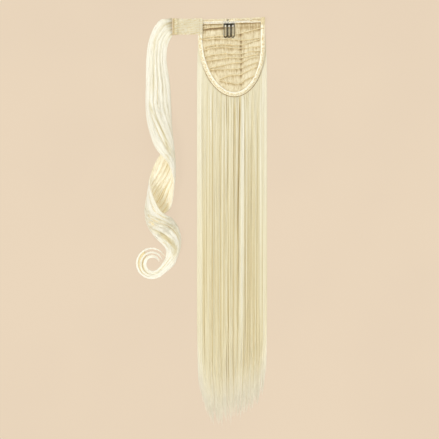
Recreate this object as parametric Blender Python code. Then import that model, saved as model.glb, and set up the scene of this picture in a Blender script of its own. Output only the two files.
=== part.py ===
"""Wrap-around ponytail hairpiece, lying flat with the inner side of its base up.

Units are metres and +Z is up. The origin is on the surface that the piece lies on, under the
middle of the base. +Y points to the base's open top edge, -Y to the tips of the hair, and the
fastening strap with its curled lock leaves the base towards -X.
"""

import bisect
from collections import namedtuple
from math import cos, pi, radians, sin

import bmesh
import bpy
from mathutils import Vector

MM = 0.001
GAP = 0.3 * MM  # clearance between pieces that lie on each other

# Base: a U of net, open side up.
BASE_WIDTH = 100.5 * MM
BASE_LENGTH = 119.4 * MM
BASE_STRAIGHT = 36.0 * MM  # straight stretch of each side
BASE_LEAN = 4.0 * MM  # how far the bottom of the U stands off the middle
BASE_ROUNDING = 1.98  # 2 is a half ellipse, 1 a V
HEM_FALL = 3.7 * MM  # how much lower the hem's strap end lies
NET_THICKNESS = 1.0 * MM
NET_BOTTOM_ROOM = 2.0 * MM  # the net's last row stands this far off the bottom of its slot
RIDGE_HEIGHT = 0.7 * MM
RIDGE_HALF_WIDTH = 1.5 * MM
CREASE_ACROSS = 14.0 * MM  # the net folds along this line
CREASE_RISE = 7.0 * MM  # how far the tracks climb beyond it

# Tapes folded over the net's edges, with a slot that holds it.
TAPE_FLAP = 1.0 * MM
TAPE_BACK = 1.3 * MM  # tape outside the net's edge
BINDING_WIDTH = 6.6 * MM
HEM_WIDTH = 7.5 * MM
TUCK_WIDTH = 6.4 * MM
TUCK_LENGTH = 10.5 * MM
TUCK_FLAP = 0.9 * MM
TUCK_SLOT = 0.8 * MM

# Tracks that carry the hair, below the net.
# Shares of BASE_LENGTH down from its top, where each track meets the crease.
WEFT_DOWN = (0.209, 0.280, 0.350, 0.401, 0.460, 0.514, 0.573, 0.636, 0.730, 0.831)
WEFT_WIDTH = 3.0 * MM
WEFT_THICKNESS = 1.0 * MM

# Comb of bent wire.
COMB_TEETH = 3
COMB_PITCH = 5.5 * MM
COMB_LENGTH = 20.0 * MM
COMB_ACROSS = -3.6 * MM
WIRE_DIAMETER = 1.1 * MM
TOOTH_WIDTH = 4.2 * MM  # between the middles of a tooth's two legs
TOOTH_ARCH = 1.4 * MM
BAR_DIAMETER = 1.8 * MM

# Strap and the band folded over its free end.
STRAP_WIDTH = 24.0 * MM
STRAP_THICKNESS = 2.0 * MM
STRAP_REACH = 38.0 * MM  # from the base's side to the strap's free end
STRAP_LAP = 7.0 * MM  # how far it lies over the base
STRAP_DROP = 1.6 * MM  # from the base's top corner down to the strap's upper edge
STRAP_SLOPE = 15.0 * MM  # the strap comes down to the surface over this length
STRAP_LEVEL = 1.0 * MM  # it stays level this far beyond the base's side
END_BAND_WIDTH = 7.5 * MM
END_BAND_OVERHANG = 0.3 * MM  # beyond each side of the strap
END_BAND_PINCH = 0.2 * MM  # how much thinner the band's stitches press the strap's end

# Straight hair.
OVERALL_LENGTH = 612.0 * MM  # from the top of the base to the lowest tip
HAIR_OVERHANG = 2.25 * MM  # beyond each side of the base
HAIR_DEPTH = 15.0 * MM
HAIR_EDGE = 1.3 * MM
HAIR_THINNEST = 0.7 * MM
HAIR_TOP_INSET = 16.0 * MM
HAIR_ACROSS = 0.75 * MM
BED_FLATNESS = 2.4  # 2 is a parabola across the hair, more is flatter in the middle
LOCK_GROOVE = 0.16  # depth of a groove between locks, as a share of the height there
HAIR_STATIONS = 26
TIP_WIDTH = 0.14  # width of a lock's tip, as a share of the lock
TIP_THINNING = 0.45  # how much flatter a lock gets from its parting to its tip
TIP_ROUNDING = 1.3  # 1 narrows a lock evenly towards its tip, more does so late
SIDE_TAPER = 0.80  # the outermost locks narrow from this share of their length

# Curled lock.
LOCK_REACH = 66.0 * MM
LOCK_DROP = 391.0 * MM
LOCK_RADIUS = 18.75 * MM
LOCK_THICKNESS = 3.2 * MM
LOCK_FLATNESS = 0.68  # the ringlet lies squashed to this share of its height
LOCK_SECTIONS = 60
LOCK_RIBS = 5  # strands that show along the lock
LOCK_RIB_HEIGHT = 0.12  # share of the thickness
LOCK_EDGE = 0.35  # thickness at the lock's sides, as a share of the middle
ROOT_ROWS = 2  # rows of LOCK_BENDS where the lock is as wide as the strap
CURL_RADIUS = 18.0 * MM
CURL_WIDTH = 10.4 * MM
CURL_TIP = 0.25  # width of the curl's end, as a share of CURL_WIDTH
CURL_ARC = radians(56)
CURL_START = radians(38)  # below +X, seen from above, turning towards -Y
CURL_END = radians(325)

Profile = namedtuple("Profile", "down crown width")
# down: share of OVERALL_LENGTH; crown: share of HAIR_DEPTH; width: share of HAIR_WIDTH
HAIR_PROFILE = (
    Profile(down=0.000, crown=0.06, width=0.95),
    Profile(down=0.040, crown=0.18, width=0.955),
    Profile(down=0.100, crown=0.52, width=0.99),
    Profile(down=0.190, crown=0.82, width=1.00),
    Profile(down=0.300, crown=1.00, width=1.00),
    Profile(down=0.520, crown=0.96, width=1.00),
    Profile(down=0.720, crown=0.80, width=1.00),
    Profile(down=0.830, crown=0.60, width=0.98),
    Profile(down=0.920, crown=0.38, width=0.88),
    Profile(down=1.000, crown=0.16, width=0.72),
)

Lock = namedtuple("Lock", "width tip part")
# width: parts of the hair's width; tip: share of OVERALL_LENGTH where the lock ends;
# part: share of the lock's own length from where it is free of the next one
HAIR_LOCKS = (
    Lock(width=0.6, tip=0.835, part=0.84),
    Lock(width=0.8, tip=0.885, part=0.88),
    Lock(width=1.0, tip=0.935, part=0.84),
    Lock(width=1.1, tip=0.962, part=0.92),
    Lock(width=1.2, tip=0.985, part=0.88),
    Lock(width=1.2, tip=1.000, part=0.92),
    Lock(width=1.1, tip=0.982, part=0.84),
    Lock(width=1.2, tip=0.993, part=0.92),
    Lock(width=1.1, tip=0.970, part=0.88),
    Lock(width=1.2, tip=0.978, part=0.92),
    Lock(width=1.2, tip=0.958, part=0.84),
    Lock(width=1.1, tip=0.945, part=0.88),
    Lock(width=1.0, tip=0.915, part=0.84),
    Lock(width=0.8, tip=0.880, part=0.88),
    Lock(width=0.6, tip=0.835, part=1.00),
)

Bend = namedtuple("Bend", "across down radius arc turn")
# The lock is a trough of hair round a winding axis. across and down: the axis, as shares of
# LOCK_REACH and LOCK_DROP from the strap's end; radius: share of LOCK_RADIUS; arc: half of the
# angle that the hair spans; turn: where its middle faces, 0 up, 90 to +X, 180 down
LOCK_BENDS = (
    Bend(across=0.000, down=0.000, radius=1.12, arc=35, turn=0),
    Bend(across=0.060, down=0.000, radius=1.07, arc=37, turn=0),
    Bend(across=0.168, down=0.012, radius=1.11, arc=42, turn=0),
    Bend(across=0.302, down=0.050, radius=0.98, arc=50, turn=0),
    Bend(across=0.366, down=0.122, radius=0.91, arc=58, turn=0),
    Bend(across=0.330, down=0.226, radius=1.01, arc=68, turn=0),
    Bend(across=0.318, down=0.315, radius=1.00, arc=82, turn=2),
    Bend(across=0.295, down=0.403, radius=0.99, arc=85, turn=37),
    Bend(across=0.252, down=0.478, radius=1.00, arc=96, turn=82),
    Bend(across=0.234, down=0.510, radius=1.00, arc=94, turn=112),
    Bend(across=0.228, down=0.575, radius=1.00, arc=94, turn=156),
    Bend(across=0.250, down=0.617, radius=1.00, arc=102, turn=190),
    Bend(across=0.285, down=0.663, radius=1.00, arc=118, turn=215),
    Bend(across=0.316, down=0.694, radius=1.00, arc=122, turn=238),
    Bend(across=0.322, down=0.717, radius=1.00, arc=114, turn=266),
    Bend(across=0.286, down=0.744, radius=1.00, arc=98, turn=318),
    Bend(across=0.205, down=0.768, radius=0.99, arc=88, turn=350),
    Bend(across=0.113, down=0.793, radius=0.96, arc=86, turn=368),
    Bend(across=0.057, down=0.821, radius=0.88, arc=80, turn=388),
    Bend(across=0.030, down=0.848, radius=0.70, arc=76, turn=405),
    Bend(across=0.044, down=0.875, radius=0.55, arc=70, turn=395),
    Bend(across=0.082, down=0.901, radius=0.48, arc=60, turn=375),
)
CURL_ACROSS = 0.461  # middle of the end's curl, shares as in LOCK_BENDS
CURL_DOWN = 0.907

# The lowest point of the U and the highest of the hem are equally far from the origin.
BASE_TOP = BASE_LENGTH / 2
HAIR_TOP = BASE_TOP - HAIR_TOP_INSET
HAIR_WIDTH = BASE_WIDTH + 2 * HAIR_OVERHANG

# Heights above the bed, which is the upper side of the hair.
BINDING_FLOOR = GAP
NET_FLOOR = BINDING_FLOOR + TAPE_FLAP + GAP
NET_CEILING = NET_FLOOR + NET_THICKNESS
TAPE_THICKNESS = 2 * TAPE_FLAP + 2 * GAP + NET_THICKNESS
TAPE_CEILING = BINDING_FLOOR + TAPE_THICKNESS
WEFT_FLOOR = NET_FLOOR - GAP - WEFT_THICKNESS


def smooth(places, values, place):
    """Value at a place on a smooth curve through the values, without overshoot between rows."""
    place = min(max(place, places[0]), places[-1])
    i = min(max(bisect.bisect_right(places, place) - 1, 0), len(places) - 2)

    def slope(k):
        return (values[k + 1] - values[k]) / (places[k + 1] - places[k])

    def tangent(k):
        if k == 0:
            return slope(0)
        if k == len(places) - 1:
            return slope(k - 1)
        return (slope(k - 1) + slope(k)) / 2

    step = places[i + 1] - places[i]
    t = (place - places[i]) / step
    rise = values[i + 1] - values[i]
    bend = t * (1 - t) * ((1 - t) * (tangent(i) * step - rise) - t * (tangent(i + 1) * step - rise))
    return values[i] + rise * t + bend


def profile_value(column, y):
    downs = [row.down for row in HAIR_PROFILE]
    values = [getattr(row, column) for row in HAIR_PROFILE]
    return smooth(downs, values, (BASE_TOP - y) / OVERALL_LENGTH)


def bed(x, y):
    """Height of the upper side of the hair, on which the base lies."""
    crown = max(HAIR_DEPTH * profile_value("crown", y), HAIR_EDGE)
    share = min(abs(x - HAIR_ACROSS) / (HAIR_WIDTH / 2), 1)
    return HAIR_EDGE + (crown - HAIR_EDGE) * (1 - share**BED_FLATNESS)


def on_bed(x, y, lift):
    return Vector((x, y, bed(x, y) + lift))


def new_object(name, mesh_builder, colour, roughness=0.8, metallic=0.0):
    """Makes the object from a bmesh, with its faces pointing out and its own material."""
    bmesh.ops.recalc_face_normals(mesh_builder, faces=mesh_builder.faces)
    mesh = bpy.data.meshes.new(name)
    mesh_builder.to_mesh(mesh)
    mesh_builder.free()
    mesh.shade_smooth()
    mesh.set_sharp_from_angle(angle=radians(40))
    piece = bpy.data.objects.new(name, mesh)
    bpy.context.collection.objects.link(piece)
    material = bpy.data.materials.new(name)
    material.use_nodes = True
    shader = material.node_tree.nodes["Principled BSDF"]
    shader.inputs["Base Color"].default_value = (*colour, 1)
    shader.inputs["Roughness"].default_value = roughness
    shader.inputs["Metallic"].default_value = metallic
    mesh.materials.append(material)
    return piece


def loft(name, rings, colour, closed=False, **finish):
    """Joins rings of points, each a closed loop, and caps the ends unless the loft is closed."""
    builder = bmesh.new()
    loops = [[builder.verts.new(point) for point in ring] for ring in rings]
    pairs = list(zip(loops, loops[1:]))
    if closed:
        pairs.append((loops[-1], loops[0]))
    for first, second in pairs:
        for k in range(len(first)):
            n = (k + 1) % len(first)
            builder.faces.new((first[k], first[n], second[n], second[k]))
    if not closed:
        builder.faces.new(loops[0][::-1])
        builder.faces.new(loops[-1])
    return new_object(name, builder, colour, **finish)


def hem_line(x):
    """The base's top edge, which falls towards the strap."""
    return BASE_TOP - HEM_FALL * (0.5 - x / BASE_WIDTH)


def base_outline(inset, steps=44):
    """Points of the U's edge from the strap's side round the bottom, moved inwards by inset."""
    depth = BASE_LENGTH - BASE_STRAIGHT
    corner_y = BASE_TOP - BASE_STRAIGHT

    def edge(share):
        """share runs from 0 at one corner to 1 at the other."""
        angle = pi * share
        down = abs(sin(angle)) ** (2 / BASE_ROUNDING)
        side = -1 if share < 0.5 else 1
        out = side * abs(cos(angle)) ** (2 / BASE_ROUNDING)
        return Vector((BASE_WIDTH / 2 * out + BASE_LEAN * down, corner_y - depth * down))

    curve = [edge(k / steps) for k in range(steps + 1)]
    left, right = curve[0].x, curve[-1].x
    straight = [corner_y + BASE_STRAIGHT * k / 6 for k in range(6, 0, -1)]
    points = [Vector((left, y)) for y in straight] + curve
    points += [Vector((right, y)) for y in reversed(straight)]
    moved = []
    for k, point in enumerate(points):
        before = points[max(k - 1, 0)]
        after = points[min(k + 1, len(points) - 1)]
        along = (after - before).normalized()
        moved.append(point + inset * Vector((-along.y, along.x)))
    return moved


def side_x(side, y, inset):
    """x of the moved outline at a height, on the strap's side (-1) or the other (1)."""
    points = base_outline(inset)
    lowest = min(range(len(points)), key=lambda k: points[k].y)
    branch = points[: lowest + 1] if side < 0 else points[: lowest - 1 : -1]
    for upper, lower in zip(branch, branch[1:]):
        if lower.y <= y <= upper.y and upper.y > lower.y:
            share = (upper.y - y) / (upper.y - lower.y)
            return upper.x + (lower.x - upper.x) * share
    return branch[0].x if y > branch[0].y else branch[-1].x


def row_points(y, inset, columns):
    """A line across the base along a track: level to the crease and climbing beyond it."""
    lowest = min(point.y for point in base_outline(inset))
    room = min(max(y - lowest, 0) / (BASE_LENGTH - BASE_STRAIGHT), 1)
    rise = CREASE_RISE * room**0.5
    left = side_x(-1, y, inset)
    right = side_x(1, y + rise, inset)
    if right <= CREASE_ACROSS:
        rise = 0
        right = side_x(1, y, inset)
    points = []
    for k in range(columns + 1):
        x = left + (right - left) * k / columns
        climb = max(x - CREASE_ACROSS, 0) / max(right - CREASE_ACROSS, MM)
        points.append((x, y + rise * climb * (0.4 + 0.6 * climb)))
    return points


def weft_y(k):
    return BASE_TOP - WEFT_DOWN[k] * BASE_LENGTH


def net_rows(inset, columns):
    """Lines across the net with the height of the ridge on each, from the hem to the bottom."""
    top_inset = TAPE_BACK + GAP
    rows = []
    left, right = side_x(-1, BASE_TOP, inset), side_x(1, BASE_TOP, inset)
    across = [left + (right - left) * k / columns for k in range(columns + 1)]
    rows.append(([(x, hem_line(x) - top_inset) for x in across], 0))
    rows.append(([(x, hem_line(x) - HEM_WIDTH - GAP) for x in across], 0))
    for k in range(len(WEFT_DOWN)):
        for shift, share in ((1, 0), (0, 1), (-1, 0)):
            y = weft_y(k) + shift * RIDGE_HALF_WIDTH
            rows.append((row_points(y, inset, columns), share))
    bottom = min(point.y for point in base_outline(inset)) + NET_BOTTOM_ROOM
    rows.append((row_points((y + bottom) / 2, inset, columns), 0))
    rows.append((row_points(bottom, inset, columns), 0))
    return rows


def ridge_shares(points, share):
    """Height of a ridge at each point of a row: none in the binding's slot or next to it."""

    def limit(side, y):
        near = [y + shift * RIDGE_HALF_WIDTH for shift in (-1, 0, 1)]
        return side * min(side * side_x(side, at, BINDING_WIDTH) for at in near)

    left, right = limit(-1, points[0][1]), limit(1, points[-1][1])
    shares = [0] * len(points)
    for k in range(1, len(points) - 1):
        if points[k - 1][0] > left and points[k + 1][0] < right:
            shares[k] = share
    return shares


def make_base_net():
    columns = 14
    rows = net_rows(TAPE_BACK + GAP, columns)
    builder = bmesh.new()
    upper, lower = [], []
    for points, share in rows:
        top = [on_bed(x, y, NET_CEILING + ridge * RIDGE_HEIGHT)
               for (x, y), ridge in zip(points, ridge_shares(points, share))]
        upper.append([builder.verts.new(point) for point in top])
        lower.append([builder.verts.new(on_bed(x, y, NET_FLOOR)) for x, y in points])
    for i in range(len(rows) - 1):
        for k in range(columns):
            builder.faces.new((upper[i][k], upper[i][k + 1], upper[i + 1][k + 1], upper[i + 1][k]))
            builder.faces.new((lower[i][k], lower[i + 1][k], lower[i + 1][k + 1], lower[i][k + 1]))
        for k in (0, columns):
            builder.faces.new((upper[i][k], upper[i + 1][k], lower[i + 1][k], lower[i][k]))
    for i in (0, len(rows) - 1):
        for k in range(columns):
            builder.faces.new((upper[i][k], upper[i][k + 1], lower[i][k + 1], lower[i][k]))
    return new_object("base_net", builder, (0.80, 0.70, 0.50))


def make_wefts():
    columns = 10
    inset = BINDING_WIDTH + GAP + WEFT_WIDTH / 2
    for k in range(len(WEFT_DOWN)):
        rings = []
        for x, y in row_points(weft_y(k), inset, columns):
            low, high = WEFT_FLOOR, WEFT_FLOOR + WEFT_THICKNESS
            half = WEFT_WIDTH / 2
            corners = ((-half, low), (half, low), (half, high), (-half, high))
            rings.append([on_bed(x, y + shift, lift) for shift, lift in corners])
        loft(f"weft_{k + 1}", rings, (0.86, 0.78, 0.58))


def tape_section(width):
    """Folded tape: distance inwards from the fold and height, with a slot for the net."""
    soft = TAPE_FLAP / 2
    slot_floor = TAPE_FLAP
    slot_ceiling = TAPE_THICKNESS - TAPE_FLAP
    return (
        (soft, 0), (0, soft), (0, TAPE_THICKNESS - soft), (soft, TAPE_THICKNESS),
        (width / 2, TAPE_THICKNESS), (width, TAPE_THICKNESS - soft / 2), (width, slot_ceiling),
        (TAPE_BACK, slot_ceiling), (TAPE_BACK, slot_floor), (width, slot_floor),
        (width, soft / 2), (width / 2, 0),
    )


def make_binding():
    section = tape_section(BINDING_WIDTH)
    outlines = [base_outline(inset) for inset, _ in section]
    last = len(outlines[0]) - 1
    rings = []
    for k in range(last + 1):
        side = -1 if k < last / 2 else 1
        limit = hem_line(side * BASE_WIDTH / 2) - HEM_WIDTH - GAP
        if outlines[0][k].y >= limit and outlines[0][k - side].y >= limit:
            continue
        ring = []
        for outline, (_, height) in zip(outlines, section):
            point = outline[k]
            y = min(point.y, hem_line(point.x) - HEM_WIDTH - GAP)
            ring.append(on_bed(point.x, y, BINDING_FLOOR + height))
        rings.append(ring)
    return loft("binding", rings, (0.93, 0.88, 0.72))


def make_top_hem():
    section = tape_section(HEM_WIDTH)
    steps = 18
    rings = []
    for k in range(steps + 1):
        x = BASE_WIDTH * (k / steps - 0.5)
        rings.append([on_bed(x, hem_line(x) - inwards, BINDING_FLOOR + height)
                      for inwards, height in section])
    return loft("top_hem", rings, (0.90, 0.84, 0.66))


def make_tape_tuck():
    """A folded end of tape on the hem, its slot open towards the strap."""
    right = BASE_WIDTH / 2 - TAPE_FLAP / 2
    left = right - TUCK_WIDTH
    high = 2 * TUCK_FLAP + TUCK_SLOT
    soft = TUCK_FLAP / 2
    section = (
        (left, 0), (right - soft, 0), (right, soft), (right, high - soft), (right - soft, high),
        (left + soft, high), (left, high - soft), (left, high - TUCK_FLAP),
        (right - TUCK_FLAP, high - TUCK_FLAP), (right - TUCK_FLAP, TUCK_FLAP), (left, TUCK_FLAP),
    )
    rings = []
    for k in range(5):
        shrink = soft if k in (0, 4) else 0
        ring = []
        for x, height in section:
            y = hem_line(x) - TAPE_FLAP / 2 - TUCK_LENGTH * k / 4
            lift = TAPE_CEILING + GAP + height * (1 - shrink / high)
            ring.append(on_bed(x, y, lift))
        rings.append(ring)
    return loft("tape_tuck", rings, (0.84, 0.74, 0.46))


def comb_path():
    """Middle of the wire: down and up each tooth, and over to the next one at the bar."""
    points = []
    bar_y = hem_line(COMB_ACROSS) - HEM_WIDTH - GAP - BAR_DIAMETER / 2
    bottom = bar_y - COMB_LENGTH
    bend = TOOTH_WIDTH / 2
    for k in range(COMB_TEETH):
        middle = COMB_ACROSS + (k - (COMB_TEETH - 1) / 2) * COMB_PITCH
        for share in (0.0, 0.25, 0.5, 0.75):
            points.append((middle - bend, bar_y + (bottom + bend - bar_y) * share))
        for j in range(7):
            angle = pi + pi * j / 6
            points.append((middle + bend * cos(angle), bottom + bend + bend * sin(angle)))
        for share in (0.75, 0.5, 0.25, 0.0):
            points.append((middle + bend, bar_y + (bottom + bend - bar_y) * share))
    return points, bar_y


def make_comb():
    points, bar_y = comb_path()
    radius = WIRE_DIAMETER / 2
    sides = 8

    def lifted(x, y):
        share = (bar_y - y) / COMB_LENGTH
        lift = NET_CEILING + GAP + radius + RIDGE_HEIGHT * share + TOOTH_ARCH * sin(pi * share)
        lift += (BAR_DIAMETER / 2 - radius) * (1 - share)
        return on_bed(x, y, lift)

    teeth = []
    per_tooth = len(points) // COMB_TEETH
    for k in range(COMB_TEETH):
        middles = [lifted(x, y) for x, y in points[k * per_tooth : (k + 1) * per_tooth]]
        teeth.append(tube(f"comb_tooth_{k + 1}", middles, radius, sides))
    half = (COMB_TEETH - 1) / 2 * COMB_PITCH + TOOTH_WIDTH / 2 + radius
    bar_points = [lifted(COMB_ACROSS - half + 2 * half * k / 6, bar_y) for k in range(7)]
    bar = tube("comb", bar_points, BAR_DIAMETER / 2, 10)
    for tooth in teeth:
        hide_cutter(tooth)
        union = bar.modifiers.new(tooth.name, "BOOLEAN")
        union.operation = "UNION"
        union.solver = "EXACT"
        union.object = tooth
    return bar


def hide_cutter(piece):
    piece.hide_render = True
    piece.display_type = "WIRE"


def tube(name, middles, radius, sides):
    """A round bar along points, with flat ends."""
    rings = []
    for k, middle in enumerate(middles):
        before = middles[max(k - 1, 0)]
        after = middles[min(k + 1, len(middles) - 1)]
        along = (after - before).normalized()
        across = along.cross(Vector((0, 0, 1))).normalized()
        up = across.cross(along)
        ring = []
        for j in range(sides):
            angle = 2 * pi * (j + 0.5) / sides
            ring.append(middle + radius * (cos(angle) * across + sin(angle) * up))
        rings.append(ring)
    return loft(name, rings, (0.015, 0.014, 0.013), roughness=0.3, metallic=0.9)


def strap_middle():
    """y of the strap's middle line."""
    return hem_line(-BASE_WIDTH / 2) + STRAP_DROP - STRAP_WIDTH / 2


def strap_floor(x):
    """Height of the strap's underside: over the binding, then down to the surface."""
    edge = -BASE_WIDTH / 2
    high = max(bed(edge + STRAP_LAP, y) for y in (BASE_TOP, strap_middle() - STRAP_WIDTH / 2))
    high += TAPE_CEILING + GAP
    low = GAP + TAPE_FLAP + GAP
    share = min(max((edge - STRAP_LEVEL - x) / STRAP_SLOPE, 0), 1)
    return high + (low - high) * share * share * (3 - 2 * share)


def strap_end_x():
    return -BASE_WIDTH / 2 - STRAP_REACH


def make_strap():
    start = -BASE_WIDTH / 2 + STRAP_LAP
    end = strap_end_x() + TAPE_BACK + GAP
    covered = strap_end_x() + END_BAND_WIDTH + GAP  # the end band covers it from here
    middle, half = strap_middle(), STRAP_WIDTH / 2
    soft = STRAP_THICKNESS / 4
    steps = 12
    places = [start + (covered - start) * k / steps for k in range(steps + 1)]
    rings = []
    for x in (*places, (covered + end) / 2, end):
        z = strap_floor(x)
        pinched = END_BAND_PINCH * max(covered - x, 0) / (covered - end)
        top = z + STRAP_THICKNESS - pinched
        section = [(-half, z + soft), (-half + soft, z), (half - soft, z), (half, z + soft),
                   (half, top - soft), (half - soft, top)]
        section += [(half * share, top) for share in (0.5, 0.0, -0.5)]
        section += [(-half + soft, top), (-half, top - soft)]
        rings.append([Vector((x, middle + across, height)) for across, height in section])
    return loft("strap", rings, (0.86, 0.76, 0.50))


def end_band_thickness():
    return STRAP_THICKNESS + 2 * GAP + 2 * TAPE_FLAP


def make_strap_end_band():
    left = strap_end_x()
    right = left + END_BAND_WIDTH
    back = left + TAPE_BACK
    high = end_band_thickness()
    soft = TAPE_FLAP / 2
    section = (
        (left + soft, 0), (left, soft), (left, high - soft), (left + soft, high), (right, high),
        (right, high - TAPE_FLAP), (back, high - TAPE_FLAP), (back, TAPE_FLAP),
        (right, TAPE_FLAP), (right, 0),
    )
    middle, half = strap_middle(), STRAP_WIDTH / 2 + END_BAND_OVERHANG
    rings = []
    for share in (-1, -0.5, 0, 0.5, 1):
        rings.append([Vector((x, middle + half * share, GAP + z)) for x, z in section])
    return loft("strap_end_band", rings, (0.80, 0.68, 0.40))


def lock_bounds():
    """x of the borders between the hair's locks, as shares of its width from -0.5 to 0.5."""
    total = sum(lock.width for lock in HAIR_LOCKS)
    bounds = [-0.5]
    for lock in HAIR_LOCKS:
        bounds.append(bounds[-1] + lock.width / total)
    return bounds


def hair_y(lock, share):
    """y along a lock, from the top of the hair (0) to the lock's tip (1)."""
    tip = BASE_TOP - OVERALL_LENGTH * lock.tip
    return HAIR_TOP + (tip - HAIR_TOP) * share


def make_hair_fall():
    """Locks side by side: one body at the top, each free of the next towards its tip."""
    bounds = lock_bounds()
    count = len(HAIR_LOCKS)
    segments = 4
    builder = bmesh.new()
    seen = {}
    stations = [k / HAIR_STATIONS for k in range(HAIR_STATIONS + 1)]
    parts = [0.0] + [lock.part for lock in HAIR_LOCKS[:-1]] + [0.0]

    def border(groove, share, owner):
        """The two points of a border at a station, shared until the locks part."""
        lock = HAIR_LOCKS[owner]
        near = [HAIR_LOCKS[k] for k in (groove - 1, groove) if 0 <= k < count]
        parted = share > parts[groove] and 0 < groove < count
        outer = groove in (0, count)
        key = (groove, share, owner if parted or outer else None)
        if key in seen:
            return seen[key]
        own = (bounds[owner] + bounds[owner + 1]) / 2
        place = bounds[groove]
        y = sum(hair_y(item, share) for item in near) / len(near)
        free = 0.0
        if parted or outer:
            start = parts[groove] if parted else SIDE_TAPER
            free = max(share - start, 0) / (1 - start)
            y += (hair_y(lock, share) - y) * free
            place += (own - place) * (1 - TIP_WIDTH) * free**TIP_ROUNDING
        x = HAIR_ACROSS + HAIR_WIDTH * profile_value("width", y) * place
        depth = 1 - LOCK_GROOVE * (0 if outer and not free else 1) - TIP_THINNING * free
        z = max(bed(x, y) * depth, HAIR_THINNEST)
        pair = (builder.verts.new((x, y, z)), builder.verts.new((x, y, 0)))
        seen[key] = pair
        return pair

    for owner in range(count):
        rows = []
        for share in stations:
            left = border(owner, share, owner)
            right = border(owner + 1, share, owner)
            between = []
            for k in range(1, segments):
                part = k / segments
                x = left[0].co.x + (right[0].co.x - left[0].co.x) * part
                y = left[0].co.y + (right[0].co.y - left[0].co.y) * part
                groove = left[0].co.z + (right[0].co.z - left[0].co.z) * part
                full = bed(x, y)
                z = groove + (full - groove) * sin(pi * part)
                between.append(builder.verts.new((x, y, max(z, HAIR_THINNEST))))
            rows.append(([left[0], *between, right[0]], left[1], right[1]))
        for j in range(len(rows) - 1):
            above, below = rows[j], rows[j + 1]
            for k in range(segments):
                builder.faces.new((above[0][k], above[0][k + 1], below[0][k + 1], below[0][k]))
            builder.faces.new((above[1], below[1], below[2], above[2]))
            for groove, top, bottom in ((owner, 0, 1), (owner + 1, -1, 2)):
                if groove in (0, count) or stations[j + 1] > parts[groove]:
                    side = (above[0][top], below[0][top], below[bottom], above[bottom])
                    if len(set(side)) == 4:
                        builder.faces.new(side)
        for tops, bottom_left, bottom_right in (rows[0], rows[-1]):
            builder.faces.new((*tops, bottom_right, bottom_left))
    return new_object("hair_fall", builder, (0.90, 0.83, 0.62), roughness=0.45)


def lock_stations():
    """The lock's axis and section at each row of the table, then round the end's curl."""
    root = Vector((strap_end_x() - GAP, strap_middle()))
    rows = []
    for k, bend in enumerate(LOCK_BENDS):
        axis = root - Vector((bend.across * LOCK_REACH, bend.down * LOCK_DROP))
        radius, arc = bend.radius * LOCK_RADIUS, radians(bend.arc)
        if k < ROOT_ROWS:
            radius = STRAP_WIDTH / 2 / sin(arc)
        rows.append((axis, radius, arc, radians(bend.turn)))
    middle = root - Vector((CURL_ACROSS * LOCK_REACH, CURL_DOWN * LOCK_DROP))
    steps = 10
    for k in range(steps + 1):
        share = k / steps
        angle = -CURL_START - (CURL_END - CURL_START) * share
        axis = middle + CURL_RADIUS * Vector((cos(angle), sin(angle)))
        width = CURL_WIDTH * (1 - (1 - CURL_TIP) * share**3)
        rows.append((axis, width / 2 / sin(CURL_ARC), CURL_ARC, radians(360)))
    return rows


def make_wrap_lock():
    rows = lock_stations()
    lengths = [0.0]
    for before, after in zip(rows, rows[1:]):
        lengths.append(lengths[-1] + (after[0] - before[0]).length)

    def read(pick, place):
        return smooth(lengths, [pick(row) for row in rows], place)

    rings = []
    points = 9
    for k in range(LOCK_SECTIONS + 1):
        place = lengths[-1] * k / LOCK_SECTIONS
        step = lengths[-1] / LOCK_SECTIONS / 4
        axis = Vector((read(lambda row: row[0].x, place), read(lambda row: row[0].y, place)))
        ahead = Vector((read(lambda row: row[0].x, place + step),
                        read(lambda row: row[0].y, place + step)))
        behind = Vector((read(lambda row: row[0].x, place - step),
                         read(lambda row: row[0].y, place - step)))
        along = (ahead - behind).normalized() if k else Vector((-1, 0))
        side = Vector((-along.y, along.x, 0))
        radius = read(lambda row: row[1], place)
        arc = read(lambda row: row[2], place)
        turn = read(lambda row: row[3], place)
        thickness = LOCK_THICKNESS * (1 + min(radius / LOCK_RADIUS, 1)) / 2
        ring = []
        for sign in (1, -1):
            order = range(points) if sign > 0 else reversed(range(points))
            for j in order:
                share = 2 * j / (points - 1) - 1
                angle = turn + arc * share
                rib = LOCK_RIB_HEIGHT * thickness * cos(LOCK_RIBS * pi * share) * (sign > 0)
                edge = 1 - (1 - LOCK_EDGE) * share * share
                reach = radius + sign * thickness / 2 * edge + rib
                out = side * (reach * sin(angle))
                up = Vector((0, 0, reach * LOCK_FLATNESS * cos(angle)))
                ring.append(Vector((axis.x, axis.y, 0)) + out + up)
        rings.append(ring)
    lows = [min(point.z for point in ring) for ring in rings]
    settled = []
    for k, ring in enumerate(rings):
        near = lows[max(k - 1, 0) : k + 2]
        drop = Vector((0, 0, min(near)))
        settled.append([point - drop for point in ring])
    return loft("wrap_lock", settled, (0.92, 0.85, 0.64), roughness=0.45)


def main():
    for old in list(bpy.data.objects):
        bpy.data.objects.remove(old, do_unlink=True)
    make_hair_fall()
    make_wefts()
    make_base_net()
    make_binding()
    make_top_hem()
    make_tape_tuck()
    make_comb()
    make_strap()
    make_strap_end_band()
    make_wrap_lock()


main()
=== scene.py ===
"""Looks of the wrap-around ponytail hairpiece: strands, net, tapes, strap pile, comb, light.

Lengths are metres in the frame of the CAD model: +Y towards the base's hem, -Y towards the tips
of the hair, +Z up from the surface. A photo pixel is 1.5 mm, and px() turns one into a place.
"""

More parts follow.
